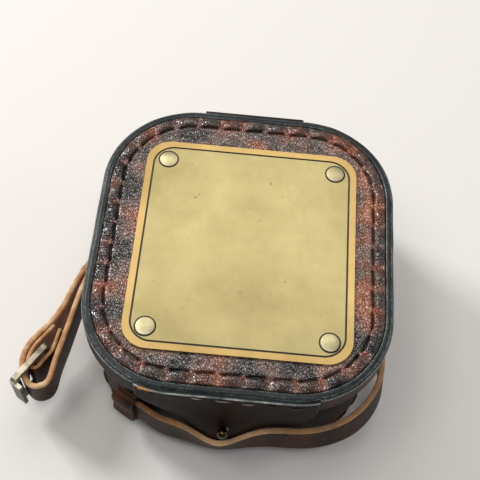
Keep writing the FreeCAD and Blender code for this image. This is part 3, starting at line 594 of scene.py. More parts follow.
# lining: no shine at all, a soft bright rim from its pile
redFelt = cutLeather("pressed wool felt, dark red", {
    "cloudMm": 12, "fibreMm": 0.9, "tones": [(0.3, "#4a1618"), (0.5, "#591b1d"), (0.7, "#6a2224")],
    "fibreDark": 0.6, "bump": 0.9, "rough": 0.97, "sheen": 0.45,
})
darkThread = waxedThread("waxed dark linen thread", {
    "toneMm": 16, "tones": [(0.2, "#0b0908"), (0.8, "#2b2320")],
})
paleThread = waxedThread("waxed pale linen thread", {
    "toneMm": 16, "tones": [(0.2, "#3f3b33"), (0.8, "#8f897a")],
})
plateBrass = engravedBrass("engraved and polished brass sheet", {
    "centre": (0.6, -1.4), "half": (42.0, 45.5), "corner": 8.67, "lineHalf": 0.36, "cloudMm": 60,
    "fieldTones": [(0.36, "#9a9066"), (0.5, "#a99f73"), (0.64, "#b6ac80")],
    "rimTones": [(0.3, "#a68d5a"), (0.5, "#baa06a"), (0.7, "#cbb27c")],
    "wax": "#1a130c", "tarnishAndShade": "#4f3c1d", "fleckMm": 1.7,
    "scratchWay": (1, 0.12, 1), "scratchMm": 1.2, "rough": (0.24, 0.38), "bump": 0.15,
})
# paler than the plate and a little duller
rivetBrass = agedBrass("turned brass rivets", {
    "cloudMm": 5, "tones": [(0.3, "#aea581"), (0.5, "#c4bb93"), (0.7, "#d2caa6")],
    "scratchWay": (1, 1, 1), "scratchMm": 0.8, "rough": (0.36, 0.5), "bump": 0.1,
})
# brown with age, but smooth, so that it still glints
studBrass = agedBrass("worn brass stud", {
    "cloudMm": 3, "tones": [(0.3, "#2f2a19"), (0.5, "#4a432b"), (0.7, "#6f6647")],
    "scratchWay": (1, 1, 1), "scratchMm": 0.7, "rough": (0.16, 0.28), "bump": 0.1,
})
# grey-gold, with painted shade that makes it almost black below
slideMetal = agedBrass("dull cast slide metal", {
    "cloudMm": 9, "tones": [(0.34, "#6a6657"), (0.5, "#a09b89"), (0.66, "#d9d4c1")],
    "tarnishAndShade": "#2b271d", "paintedShadeShare": 0.92, "paintedShadeFade": (26.0, 28.5),
    "scratchWay": (1, 1, 1), "scratchMm": 0.8, "rough": (0.28, 0.5), "bump": 0.3,
})
print("materials made")

# lid: top panel with its sewn groove, and the padded ring outside the stitches
lidTop = {
    "from": 3.45, "thick": 2.6, "stitchInset": 8.6, "stitches": 40, "firstStitch": 9.4,
    "dashShare": 0.31, "pillow": 1.6, "valley": 1.3, "valleyHalf": 0.46, "hole": 0.6, "bridge": 0.45,
    "crease": 0.25, "pleat": 0.2, "shoulder": 0.34, "rim": 0.55, "plateInset": 16.5,
    "underPlate": 0.04, "step": 0.4,
    # columns from the rim to under the plate, closest beside the stitches: first inset, last inset, count
    "columns": [(3.45, 6.375, 14), (6.6, 10.6, 27), (10.9, 13.0, 8), (13.6, 21.0, 10)],
    # thread: radius; share of the half stitch and height over the panel at each point of it
    "thread": 0.36, "dip": [
        (-1.08, -2.0), (-0.95, -1.45), (-0.6, -1.0), (0, -0.85), (0.6, -1.0), (0.95, -1.45), (1.08, -2.0),
    ],
}


def stitchPhase(look, ways, runs):
    # signed distance of each row from its stitch's middle, the stitch's number, and the pitch, in mm
    outer = plan["lidCorner"]
    corner = outer - look["stitchInset"]
    # run along the stitch line: straights keep their length, corners shrink with their radius
    lineRun = np.zeros(len(runs))
    for i in range(1, len(runs)):
        turned = abs(math.atan2(ways[i][1], ways[i][0]) - math.atan2(ways[i - 1][1], ways[i - 1][0])) > 1e-6
        lineRun[i] = lineRun[i - 1] + (runs[i] - runs[i - 1]) * (corner / outer if turned else 1)
    pitch = track(corner, look["step"])[3] / look["stitches"]
    shifted = lineRun - look["firstStitch"] + pitch / 2
    return np.mod(shifted, pitch) - pitch / 2, np.floor(shifted / pitch), pitch


def panelHeight(look, inset, place, number, pitch, points):
    # height over the flat panel in mm, and the shares of dash and of gap between stitches at each row
    inset = inset[None, :]
    d = inset - look["stitchInset"]
    u = place[:, None]
    offGap = np.abs(u) - pitch / 2
    # each stitch pulls the leather its own way
    own = hashGrid(np.mod(number, look["stitches"]), 3.0, 5.0, 1)[:, None]
    other = hashGrid(np.mod(number, look["stitches"]), 7.0, 2.0, 4)[:, None]
    dash = ease((look["dashShare"] * pitch + 0.9 - np.abs(u)) / 1.6)
    beside = 0.5 + 0.5 * np.cos(2 * math.pi * u / pitch)
    t = np.clip((inset - look["from"]) / (look["stitchInset"] - look["from"]), 0, 1)
    pillow = look["pillow"] * np.sin(math.pi * t ** 1.25) ** 0.8 * (0.22 + (0.55 + 0.4 * own) * beside)
    slant = 0.22 * np.sin(math.pi * u / pitch)
    valley = -look["valley"] * bell(d - slant, look["valleyHalf"]) * (0.35 + 0.65 * dash)
    hole = -look["hole"] * bell(np.abs(u) - look["dashShare"] * pitch, 0.5) * bell(d - slant, 0.6)
    bridge = look["bridge"] * bell(offGap, 0.75) * bell(d, 1.2)
    crease = -(look["crease"] + 0.35 * other) * bell(offGap, 0.75) * ease((2.6 - np.abs(d + 2.2)) / 2.0)
    folds = (0.5 + 0.5 * np.sin(u * (4.2 + own) + own * 9 + 0.5 * d)) ** 1.5
    pleat = -look["pleat"] * folds * ease((d + 4.6) / 2.0) * ease((-0.3 - d) / 0.9)
    shoulder = look["shoulder"] * bell(d - 1.6, 1.1) * (0.35 + 0.65 * dash)
    rim = -look["rim"] * bell(inset - look["from"], 0.3)
    broad = 0.16 * softNoise(points, 13, 2) + 0.1 * softNoise(points, 4.5, 3)
    broad = broad + 0.035 * softNoise(points, 1.6, 6)
    # under the plate the panel is flat
    calm = ease((look["plateInset"] - inset) / 3.0)
    height = pillow + valley + hole + bridge + crease + pleat + shoulder + rim + broad
    return height * calm - look["underPlate"] * (1 - calm), dash, bell(offGap, 1.2)


def makeLidTop(look):
    cores, ways, runs, _ = track(plan["lidCorner"], look["step"])
    place, number, pitch = stitchPhase(look, ways, runs)
    inset = np.concatenate([np.linspace(*stretch) for stretch in look["columns"]])
    flat = cores[:, None, :] + ways[:, None, :] * (plan["lidCorner"] - inset)[None, :, None]
    points = withHeight(flat, 0 * inset)
    height, dash, between = panelHeight(look, inset, place, number, pitch, points)
    points[..., 2] = plan["caseTop"] + height
    rows, columns = points.shape[:2]
    d = inset[None, :] - look["stitchInset"]
    patch = ease(softNoise(points, 9, 11) * 0.9 + 0.35)
    # how far the dye is rubbed off between the stitches, and the painted shade in the stitch valley,
    # along the rim and on the padded ring outside the stitches
    pull = 1.1 * between * bell(d + 0.7, 1.0) * (0.3 + 0.7 * patch)
    pull = pull + 0.5 * between * bell(d + 2.4, 1.4) * patch
    shade = 0.95 * bell(d, 0.5) * (0.3 + 0.7 * dash) + 0.7 * bell(inset[None, :] - look["from"], 0.35)
    shade = shade + 0.5 * ease((-0.6 - d) / 1.2) * (1 - 0.95 * between)
    # the lower side closes the panel
    low = points[:, 0].copy()
    low[:, 2] = plan["caseTop"] - look["thick"]
    count = rows * columns
    verts = np.concatenate([points.reshape(-1, 3), low])
    faces = gridFaces(rows, columns, True, False)
    for i in range(rows):
        k = (i + 1) % rows
        faces.append((i * columns, count + i, count + k, k * columns))
    faces.append(tuple(i * columns + columns - 1 for i in range(rows)))
    faces.append(tuple(reversed(range(count, count + rows))))
    attributes = {}
    for key, values in (("pull", pull), ("shade", shade)):
        attributes[key] = np.concatenate([np.clip(values, 0, 1).ravel(), np.zeros(rows)])
    thing = makeObject("lidTopLeather", verts, faces, [lidLeather], None, attributes)
    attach(thing, "lid")
    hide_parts("lid_top")
    # thread: short dark dashes that lie in the valley from hole to hole
    stitches = []
    half = int(round(look["dashShare"] * pitch / look["step"]))
    for middle in np.where(np.diff(np.sign(place)) > 0)[0]:
        if abs(place[middle]) > 1:
            continue
        path = []
        for share, lift in look["dip"]:
            j = (middle + int(round(share * half))) % rows
            spot = cores[j] + ways[j] * (plan["lidCorner"] - look["stitchInset"])
            path.append((*spot, plan["caseTop"] + lift))
        stitches.append(path)
    threadRow("lidThread", stitches, look["thread"], darkThread, "lid")


makeLidTop(lidTop)
print("lid top and its stitches made")

# lid: skirt with its burnished edge
lidEdge = {
    "section": [
        # inset from the outline, height, share of pale wear and painted highlight
        (3.46, 54.2, 0), (3.46, 57.2, 0), (3.4, 57.75, 0.1), (3.22, 58.0, 0.55), (2.9, 58.12, 0.08),
        (2.3, 58.18, 0.03), (1.75, 58.1, 0.05), (1.42, 57.95, 0.3), (1.3, 57.72, 0), (1.2, 57.72, 0),
        (1.08, 57.86, 0.6), (0.85, 57.78, 0.06), (0.55, 57.5, 0.08), (0.28, 57.1, 0.5), (0.08, 56.6, 0.85),
        (0.0, 56.0, 0.1), (0.0, 55.0, 0), (0.02, 52.5, 0), (0.02, 49.5, 0), (0.0, 47.2, 0), (0.12, 46.5, 0),
        (0.5, 46.12, 0), (1.4, 46.0, 0), (2.4, 46.02, 0), (3.1, 46.25, 0), (3.38, 46.8, 0), (3.4, 49.5, 0),
        (3.4, 52.2, 0),
    ],
    # numbers of the section's stretches where the burnish, the outer side and the lower edge end
    "burnished": 15, "side": 21, "lower": 24,
    # behind the tongue the skirt's face is set back: how far, and from which x to which
    "stepBack": 0.8, "stepFrom": -38.0, "stepTo": 35.0, "step": 0.9,
}


def makeLidEdge(look):
    rings, ways, section = hoopRings(plan["lidCorner"], look)
    inset, height, worn = section.T
    rough = 0.07 * softNoise(rings, 3.2, 21) + 0.1 * softNoise(rings, 11, 22)
    rings[..., 2] += rough * (ease((height - 55.5) / 2.0) * (inset < 3.3))[None, :]
    x, y = rings[..., 0], rings[..., 1]
    front = ease((x - look["stepFrom"]) / 1.5) * ease((look["stepTo"] - x) / 1.5) * (y < -50)
    back = look["stepBack"] * front * (ease((height - 46.0) / 1.0) * ease((1.3 - inset) / 0.9))[None, :]
    rings[..., :2] -= ways[:, None, :] * back[..., None]
    sway = 0.12 * softNoise(rings * np.array([1, 1, 0.15]), 9, 23) * (inset < 3.0)[None, :]
    rings[..., :2] += ways[:, None, :] * sway[..., None]
    ends = (look["burnished"], look["side"], look["lower"])
    sides = [sum(i >= end for end in ends) for i in range(len(section))]
    # pale wear and painted highlight on the burnished corners and ridges, uneven along the rim
    paleWearAndLight = worn[None, :] * (0.55 + 0.45 * softNoise(rings, 6, 24))
    thing = sweptPiece("lidSkirtLeather", rings, [edgeBlack, sideLeather, rawEdge, fleshSide], sides, True,
                       {"worn": paleWearAndLight, "pull": paleWearAndLight * 0, "shade": paleWearAndLight * 0})
    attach(thing, "lid")
    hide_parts("lid_skirt")


makeLidEdge(lidEdge)
print("lid edge made")

# plate and its rivets
dress("brass_plate", plateBrass)
dress("plate_rivets", rivetBrass)
dress("plate_rivet_burrs", rivetBrass)
rivetShadow = {
    # painted shadow round each rivet head, a little wider towards the front, where the shadow falls
    "places": [(-35.3, -40.8), (36.5, -40.8), (36.5, 38.0), (-35.3, 38.0)],
    "plateTop": 59.02, "shift": -0.16, "count": 48,
    # radius, height over the plate, share of the shift
    "profile": [(3.75, 0.12, 0), (3.95, 0.1, 0), (4.3, 0.05, 1), (4.42, -0.03, 1)],
}


def makeRivetShadow(look):
    # painted shadow: matt and almost black
    material, add, _ = newMaterial("painted shadow round the rivets")
    finishMaterial(add, {"Base Color": "#17110a", "Roughness": 0.55})
    verts, faces = [], []
    for x, y in look["places"]:
        start = len(verts)
        for radius, lift, share in look["profile"]:
            for k in range(look["count"]):
                angle = 2 * math.pi * k / look["count"]
                way = (math.cos(angle), math.sin(angle))
                verts.append((x + radius * way[0], y + share * look["shift"] + radius * way[1],
                              look["plateTop"] + lift))
        faces += gridFaces(len(look["profile"]), look["count"], False, True, start)
    thing = makeObject("rivetPaintedShadow", verts, faces, [material])
    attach(thing, "lid")


makeRivetShadow(rivetShadow)
print("plate dressed")

# belt round the body: out in a V at the front for the tongue, leaning outward at the right front corner
belt = {
    "leather": 2.4, "base": 12.0, "top": 28.0, "wallGap": 0.4, "frontGap": 2.9, "round": 0.8,
    # the V and the outward bow: place along the run, reach at top and base, spread, and the V's sharpness
    "peakPlace": -3.2, "peakTop": 8.6, "peakBase": 5.0, "peakSpreadTop": 13.5, "peakSpreadBase": 19.0,
    "peakPower": 1.8,
    "bowPlace": 54.0, "bowSpread": 26.0, "bowTop": 2.3, "bowBase": 5.4,
    "leftEnd": -47.0, "rightEnd": 295.73, "easeLeft": (-38.0, 14.0), "easeRight": (62.0, 56.76), "step": 1.4,
    # painted light along the rim: how far it is made pale at each run, most at the V where the tongue goes
    # in: run, share
    "paleWearAndLight": [
        (-47, 0), (-28, 0.08), (-14, 0.5), (-3, 1.0), (12, 0.8), (24, 0.35), (60, 0.45), (95, 0.4),
        (150, 0.3),
    ],
    # waves of its hand-cut edges: height, length, how far they differ between the two edges
    "waves": [(0.16, 17, 0.2), (0.07, 5, 0.3)],
}


def beltMiddle(run, level):
    # how far the belt's middle stands off the wall; level is 0 at its base, 1 at its top
    run = np.asarray(run, float)
    snug = belt["wallGap"] + belt["leather"] / 2
    front = belt["frontGap"] + belt["leather"] / 2
    left = ease((run - belt["easeLeft"][0]) / belt["easeLeft"][1])
    right = 1 - ease((run - belt["easeRight"][0]) / belt["easeRight"][1])
    away = np.abs(run - belt["peakPlace"])
    peakTop = belt["peakTop"] * left * np.exp(-(away / belt["peakSpreadTop"]) ** belt["peakPower"])
    peakBase = belt["peakBase"] * left * np.exp(-(away / belt["peakSpreadBase"]) ** belt["peakPower"])
    bow = right * bell(run - belt["bowPlace"], belt["bowSpread"])
    low = peakBase + belt["bowBase"] * bow
    high = peakTop + belt["bowTop"] * bow
    return snug + (front - snug) * left * right + low + (high - low) * level


def makeBelt(look):
    count = int((look["rightEnd"] - look["leftEnd"]) / look["step"])
    run = np.linspace(look["leftEnd"], look["rightEnd"], count)
    # section: first number is along the height, second is outward
    section, sides = roundedStrip(look["top"] - look["base"], look["leather"], look["round"], 12)
    z = (look["top"] + look["base"]) / 2 + section[:, 0]
    level = (z - look["base"]) / (look["top"] - look["base"])
    out = beltMiddle(run[:, None], level[None, :]) + section[None, :, 1]
    rings = wallPoint(run[:, None] + 0 * out, out, z[None, :])
    waveEdges(rings, section, look["waves"], 31)
    # painted light along the rim, from the table
    rub = np.interp(run, *zip(*look["paleWearAndLight"]))[:, None] * (0.85 + 0.15 * softNoise(rings, 3, 33))
    thing = sweptPiece("beltLeather", rings, [strapLeather, beltRim, fleshSide], sides, False, {"rub": rub})
    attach(thing, "case")
    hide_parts("belt")


makeBelt(belt)
dress("belt_rivets", rivetBrass)
dress("belt_rivet_burrs", rivetBrass)
print("belt made")

# loops that hold the belt
loops = {
    "leather": 1.8, "width": 9.0, "gap": 0.4, "foot": 6.3,
    # piece, node, run along the wall
    "pieces": [
        ("frontLoopLeather", "belt_loop_front", -42.0), ("sideLoopLeather", "belt_loop_side", 123.26),
    ],
}


def makeLoops(look):
    out = belt["wallGap"] + belt["leather"] + look["gap"] + look["leather"] / 2
    # middle of the leather where it lies on the wall
    close = look["leather"] / 2 + 0.02
    under = belt["base"] - look["gap"] - look["leather"] / 2
    over = belt["top"] + look["gap"] + look["leather"] / 2
    route = [
        (close, under - look["foot"] + 0.9), (close, under - 2.2), (close + 0.35, under - 0.35),
        (out - 1.1, under), (out, under + 1.1), (out + 0.1, 20.0), (out, over - 1.1), (out - 1.1, over),
        (close + 0.35, over + 0.35), (close, over + 2.2), (close, over + look["foot"] - 0.9),
    ]
    section, sides = roundedStrip(look["width"], look["leather"], 0.4, 6)
    away, height = np.moveaxis(carriedAlong(route, 90, section), -1, 0)
    for name, node, run in look["pieces"]:
        rings = wallPoint(run + section[None, :, 0] + 0 * away, np.maximum(away, 0.02), height)
        thing = sweptPiece(name, rings, [strapLeather, darkEdge, fleshSide], sides)
        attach(thing, "case")
        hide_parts(node)


makeLoops(loops)
print("belt loops made")

# case wall with its stitches
caseWall = {
    # inset from the outline, height
    "section": [
        (3.0, 3.0), (3.0, 20.0), (3.0, 40.0), (3.0, 52.6), (2.7, 53.3), (2.2, 53.5), (0.9, 53.5),
        (0.35, 53.3), (0.0, 52.7), (0.0, 46.0), (0.0, 40.0), (0.0, 34.0), (0.0, 28.0), (0.0, 22.0),
        (0.0, 16.0), (0.0, 10.0), (0.0, 6.0), (0.0, 3.0), (0.05, 1.8), (0.4, 0.8), (1.0, 0.25),
        (1.6, 0.0), (2.4, 0.0), (3.0, 0.0),
    ],
    # numbers of the section's stretches where the inner side and the cut rim end
    "inner": 4, "rim": 8, "step": 1.6, "stitches": 44, "stitchHeight": 4.6,
    # dents of the outer side: mean depth, how far it varies, and their length
    "dent": (0.12, 0.1, 16),
    # height above which they are full, height where they end under the lid, and length of that fade
    "foot": 8, "underLid": 47, "fade": 6,
    # thread: radius; share of the pitch and distance off the wall at each point of it
    "thread": 0.42,
    "dip": [(-0.34, -0.6), (-0.3, 0.05), (-0.15, 0.22), (0, 0.26), (0.15, 0.22), (0.3, 0.05), (0.34, -0.6)],
}


def makeWall(look):
    rings, ways, section = hoopRings(plan["wallCorner"], look)
    inset, height = section.T
    # the outer side is dented a little, but not under the lid or at the foot
    clear = ease(height / look["foot"]) * ease((look["underLid"] - height) / look["fade"])
    depth, vary, length = look["dent"]
    dent = (vary * softNoise(rings, length, 41) - depth) * ((inset < 0.2) * clear)[None, :]
    rings[..., :2] += ways[:, None, :] * dent[..., None]
    sides = [2 if i < look["inner"] else 1 if i < look["rim"] else 0 for i in range(len(section))]
    thing = sweptPiece("caseWallLeather", rings, [sideLeather, rawEdge, fleshSide], sides, True)
    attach(thing, "case")
    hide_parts("body_wall")
    pitch = track(plan["wallCorner"], look["step"])[3] / look["stitches"]
    stitches = []
    for i in range(look["stitches"]):
        path = []
        for share, out in look["dip"]:
            path.append(wallPoint((i + 0.5 + share) * pitch, out, look["stitchHeight"]))
        stitches.append(path)
    threadRow("baseThread", stitches, look["thread"], darkThread, "case")


makeWall(caseWall)
print("wall made")

# tongue at the front, sewn on the skirt and tucked behind the belt
tongue = {
    "leather": 2.2, "round": 0.5, "rootTop": 56.8, "tip": 20.0,
    # how far the skirt stands off the wall, the gap behind the belt, and the slope below the belt's rim
    "skirtOut": 2.6, "beltGap": 0.45, "taper": 0.22,
    # x, height, radius of the corner
    "outline": [
        (-37.0, 46.0, 0.0), (-17.5, 28.0, 2.4), (-11.0, 20.0, 4.0), (5.0, 20.0, 4.0), (14.0, 25.0, 2.4),
        (30.0, 28.0, 2.4), (34.0, 46.0, 0.0),
    ],
    # x of the nick in the top edge, and its depth
    "bare": (-34.6, -30.0, 2.2), "across": 56,
    # stitches: middle, height, half length
    "seam": [(-12.4, 55.2, 2.4), (-2.2, 54.6, 3.6), (6.9, 53.8, 2.4)],
    "darkSeam": [(-31.0, 55.3, 3.0), (-21.7, 55.3, 3.0), (16.3, 53.9, 3.0), (25.4, 53.9, 3.0)],
    # thread: radius; share of the half length and depth behind the face at each point of it
    "thread": 0.3,
    "dip": [(-1.0, 0.8), (-0.9, 0.1), (-0.45, -0.2), (0, -0.26), (0.45, -0.2), (0.9, 0.1), (1.0, 0.8)],
}


def tongueFace(run, z):
    # how far the outer face stands off the wall: from the skirt down to the belt, then inward behind it
    rim = beltMiddle(run, 1.0) - belt["leather"] / 2 - tongue["beltGap"]
    root = tongue["skirtOut"] + tongue["leather"]
    share = ease((plan["skirtBase"] - z) / (plan["skirtBase"] - belt["top"]))
    above = root + (rim - root) * share
    below = rim - tongue["taper"] * (belt["top"] - z)
    return np.where(z >= belt["top"], above, below)


def frontPoint(x, z, inward):
    # point of the tongue at a true x and height, this far behind its outer face
    x = np.asarray(x, float)
    sf, corner = plan["straightFront"], plan["wallCorner"]
    over = np.maximum(np.abs(x) - sf, 0)
    out = np.full(x.shape, tongue["skirtOut"] + tongue["leather"])
    for _ in range(4):
        angle = np.arcsin(np.clip(over / (corner + out), 0, 0.99))
        out = tongueFace(np.sign(x) * (np.minimum(np.abs(x), sf) + corner * angle), z) - inward
    angle = np.arcsin(np.clip(over / (corner + out), 0, 0.99))
    y = -(plan["straightSide"] + (corner + out) * np.cos(angle))
    return np.stack([x, y, z + 0 * x], -1)


def roundedOutline(points, arc=8):
    path = []
    for i, (x, z, radius) in enumerate(points):
        if radius == 0:
            path.append((x, z))
            continue
        here = np.array([x, z])
        back = np.array(points[i - 1][:2]) - here
        ahead = np.array(points[i + 1][:2]) - here
        back, ahead = back / np.linalg.norm(back), ahead / np.linalg.norm(ahead)
        half = math.acos(float(np.clip(back @ ahead, -1, 1))) / 2
        reach = radius / math.tan(half)
        start, end = here + back * reach, here + ahead * reach
        for k in range(arc + 1):
            share = k / arc
            path.append(tuple((1 - share) ** 2 * start + 2 * share * (1 - share) * here + share ** 2 * end))
    return np.array(path)


def tongueRing(look, x0, x1, z, thin):
    # one level of the tongue from side to side: outer face, right edge, inner face, left edge
    r, thick = look["round"], look["leather"]
    x = x0 + r + (x1 - x0 - 2 * r) * np.linspace(0, 1, look["across"])
    turns = []
    for side, edge in ((1, x1), (-1, x0)):
        strip = []
        for k in (1, 2, 3):
            angle = math.pi / 2 * k / 4
            strip.append((edge - side * r * (1 - math.sin(angle)), thin + r * (1 - math.cos(angle))))
        corner = strip + [(edge, thick / 2)] + [(px, thick - depth) for px, depth in reversed(strip)]
        turns.append([frontPoint(px, z, depth) for px, depth in corner[::side]])
    outer, inner = frontPoint(x, z, thin), frontPoint(x[::-1], z, thick - thin)
    return np.concatenate([outer, turns[0], inner, turns[1]])


def makeTongue(look):
    outline = roundedOutline(look["outline"])
    low = int(np.argmin(outline[:, 1] + 0.001 * np.abs(outline[:, 0] + 3)))
    left, right = outline[low::-1], outline[low:]
    top, skirt, rim, tip = look["rootTop"], plan["skirtBase"], belt["top"], look["tip"]
    levels = np.concatenate([
        [top, top - 0.12, top - 0.45], np.linspace(top - 1.0, skirt, 9)[:-1],
        np.linspace(skirt, rim, 26)[:-1], np.linspace(rim, tip + 0.3, 18), [tip + 0.12, tip + 0.02],
    ])
    # the top edge and the tip are rounded off
    thin = np.zeros(len(levels))
    thin[[0, 1, -2, -1]] = 0.5, 0.2, 0.2, 0.5
    rings = []
    for z, less in zip(levels, thin):
        # above the skirt's lower edge the sides are upright
        x0, x1 = (float(np.interp(z, side[:, 1], side[:, 0])) for side in (left, right))
        rings.append(tongueRing(look, x0, x1, z, less))
    rings = np.array(rings)
    rings[..., 1] += (0.1 * softNoise(rings, 9, 51) + 0.05 * softNoise(rings, 3, 52)) * 0.8
    sides = [0] * (look["across"] - 1) + [1] * 8 + [2] * (look["across"] - 1) + [1] * 8
    materials = [tongueLeather, darkEdge, fleshSide, paintedHighlightEdge, orangeEdge, edgeBlack]
    thing = sweptPiece("tongueLeather", rings, materials, sides)
    # the top edge is dyed black, its rounded corners carry a painted highlight as a pale line, and the nick
    # at the left is bare tan
    mesh = thing.data
    index = np.zeros(len(mesh.polygons), np.int32)
    mesh.polygons.foreach_get("material_index", index)
    flat = rings.reshape(-1, 3)
    centres = np.array([flat[list(face.vertices)].mean(0) for face in mesh.polygons])
    index[centres[:, 2] > top - 0.4] = materials.index(paintedHighlightEdge)
    index[-2] = materials.index(edgeBlack)
    start, end, deep = look["bare"]
    bare = (centres[:, 0] > start) & (centres[:, 0] < end) & (centres[:, 2] > top - deep)
    index[bare] = materials.index(orangeEdge)
    mesh.polygons.foreach_set("material_index", index)
    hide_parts("tongue", "tongue_root")
    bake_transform(thing)
    # seam that holds the tongue on the skirt
    for name, seam, material in (("tongueThread", look["seam"], paleThread),
                                 ("tongueDarkThread", look["darkSeam"], darkThread)):
        stitches = []
        for x, height, half in seam:
            stitches.append([frontPoint(x + share * half, height, depth) for share, depth in look["dip"]])
        threadRow(name, stitches, look["thread"], material, "lid")


makeTongue(tongue)
dress("ball_stud", studBrass)
dress("stud_screw", studBrass)
print("tongue made")

# buckle strap, folded back on itself, with its slide
strap = {
    "root": (-59.6, 18.66), "centre": (-81.785, -47.36), "unit": 10.8, "base": 12.0, "top": 28.0,
    "leather": 2.4, "overlap": 13.5, "overlapStraight": 5.0, "layerGap": 0.35,
    # routes round the slide's middle in units: ahead along the strap, left of it
    "bend": [
        (-3.42, -0.97), (-2.66, -0.76), (-2.02, -0.51), (-1.45, -0.15), (-0.92, 0.22), (-0.42, 0.42),
        (0.18, 0.43), (0.67, 0.23), (0.97, -0.21), (0.80, -0.60), (0.18, -0.75), (-0.60, -0.85),
        (-1.35, -0.98), (-2.14, -1.10),
    ],
    "chape": 1.6,
    "chapeBend": [
        (-1.57, -0.50), (-1.12, -0.20), (-0.66, 0.09), (-0.27, 0.22), (0.02, 0.23), (0.19, 0.13),
        (0.24, -0.03), (0.17, -0.18), (0.01, -0.28), (-0.23, -0.42), (-0.53, -0.59), (-0.94, -0.68),
        (-1.44, -0.75),
    ],
    # corner radius as a share of the leather; waves as the belt's
    "round": 0.36, "waves": [(0.22, 19, 0.15), (0.08, 5, 0.3)],
}


def bendPlaces(shares):
    cx, cy = strap["centre"]
    return [np.array((cx - left * strap["unit"], cy - ahead * strap["unit"])) for ahead, left in shares]


def standingStrap(name, route, leather, count, seed):
    section, sides = roundedStrip(strap["top"] - strap["base"], leather, leather * strap["round"], 12)
    height = (strap["top"] + strap["base"]) / 2 + section[:, 0]
    rings = withHeight(carriedAlong(route, count, section), height)
    waveEdges(rings, section, strap["waves"], seed)
    return sweptPiece(name, rings, [strapLeather, rawEdge, paleFlesh], sides)


def makeStrap(look):
    root = np.array(look["root"])
    bend = bendPlaces(look["bend"])
    way = bend[0] - root
    way /= np.linalg.norm(way)
    across = np.array([way[1], -way[0]])
    beside = bend[0] - across * (look["leather"] + look["layerGap"])
    route = [root, root + way * 10, root + way * 20, *bend,
             beside - way * (look["overlap"] - look["overlapStraight"]), beside - way * look["overlap"]]
    thing = standingStrap("buckleStrapLeather", route, look["leather"], 150, 61)
    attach(thing, "strap")
    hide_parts("buckle_strap")
    # the short piece that holds the slide lies inside the strap's fold
    chape = standingStrap("chapeLeather", bendPlaces(look["chapeBend"]), look["chape"], 70, 63)
    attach(chape, "strap")
    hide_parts("buckle_chape")


makeStrap(strap)
dress("strap_rivets", rivetBrass)
dress("slide_buckle", slideMetal, 0.35)
print("buckle strap made")

# leather hinge at the back: one sheet from the wall up over the skirt
hinge = {
    "width": 44.0, "leather": 2.2, "round": 0.5,
    # y, height
    "line": [
        (63.1, 31.0), (63.1, 36.0), (63.15, 41.0), (63.7, 42.8), (66.4, 45.0), (67.1, 46.6), (67.1, 49.0),
        (67.1, 52.0), (67.1, 55.5),
    ],
    # thread: piece, height, y, body; radius; x of the stitches; x along a stitch and y off the leather
    "seams": [("hingeCaseThread", 33.6, 64.2, "case"), ("hingeLidThread", 52.6, 68.2, "lid")],
    "thread": 0.42, "places": [-16.5, -5.5, 5.5, 16.5],
    "dip": [(-3.4, -0.8), (-3.0, -0.05), (0, 0.22), (3.0, -0.05), (3.4, -0.8)],
}


def makeHinge(look):
    section, sides = roundedStrip(look["width"], look["leather"], look["round"], 24)
    place = carriedAlong(look["line"], 60, section)
    x = np.broadcast_to(section[None, :, 0:1], (*place.shape[:2], 1))
    rings = np.concatenate([x, place], 2)
    thing = sweptPiece("hingeLeather", rings, [strapLeather, darkEdge, fleshSide], sides)
    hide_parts("hinge_lower_leaf", "hinge_upper_leaf")
    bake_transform(thing)
    for name, height, y, body in look["seams"]:
        stitches = [[(x + along, y + off, height) for along, off in look["dip"]] for x in look["places"]]
        threadRow(name, stitches, look["thread"], darkThread, body)


makeHinge(hinge)
print("hinge made")


def softCopy(name, node, body, material, voxelMm, swellMm, seed):
    # linings, welts and base panel: the CAD form remeshed, its edges softened and its face made uneven
    thing = bpy.data.objects.new(name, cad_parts[node].data.copy())
    bpy.context.scene.collection.objects.link(thing)
    mesh = thing.data
    mesh.materials.clear()
    mesh.materials.append(material)
    pick(thing)
    remesh = thing.modifiers.new("remesh", "REMESH")
    remesh.mode = "VOXEL"
    remesh.voxel_size = voxelMm * mm
    remesh.use_smooth_shade = True
    soften = thing.modifiers.new("soften", "SMOOTH")
    soften.factor = 0.5
    soften.iterations = 2
    for modifier in list(thing.modifiers):
        bpy.ops.object.modifier_apply(modifier=modifier.name)
    points, normals = np.zeros((2, len(mesh.vertices) * 3))
    mesh.vertices.foreach_get("co", points)
    mesh.vertex_normals.foreach_get("vector", normals)
    swell = softNoise(points.reshape(-1, 3) / mm, 7, seed) * swellMm * mm
    mesh.vertices.foreach_set("co", points + normals * np.repeat(swell, 3))
    mesh.update()
    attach(thing, body)
    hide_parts(node)
    return thing


softCopy("wallFelt", "wall_lining", "case", redFelt, 0.8, 0.08, 71)
pad = softCopy("baseFeltPad", "bottom_pad", "case", redFelt, 1.0, 0.15, 72)
softCopy("lidFelt", "lid_lining", "lid", redFelt, 0.8, 0.08, 73)
softCopy("baseLeather", "body_bottom", "case", sideLeather, 1.0, 0.06, 74)
softCopy("lidWeltLeather", "lid_welt", "lid", fleshSide, 0.7, 0.05, 75)
softCopy("baseWeltLeather", "bottom_welt", "case", fleshSide, 0.8, 0.05, 76)
print("inside made")

camera = {
    # fitted to the outlines of the lid and the plate in the photograph
    # distance and shift count in widths of the lid, which is in metres
    "lidWidth": 0.124, "distance": 2.9811085, "shift": (-0.013571, 0.013438), "lens": 67.5,
    "elevation": 60.0, "azimuth": -0.34039, "roll": 5.55111,
}


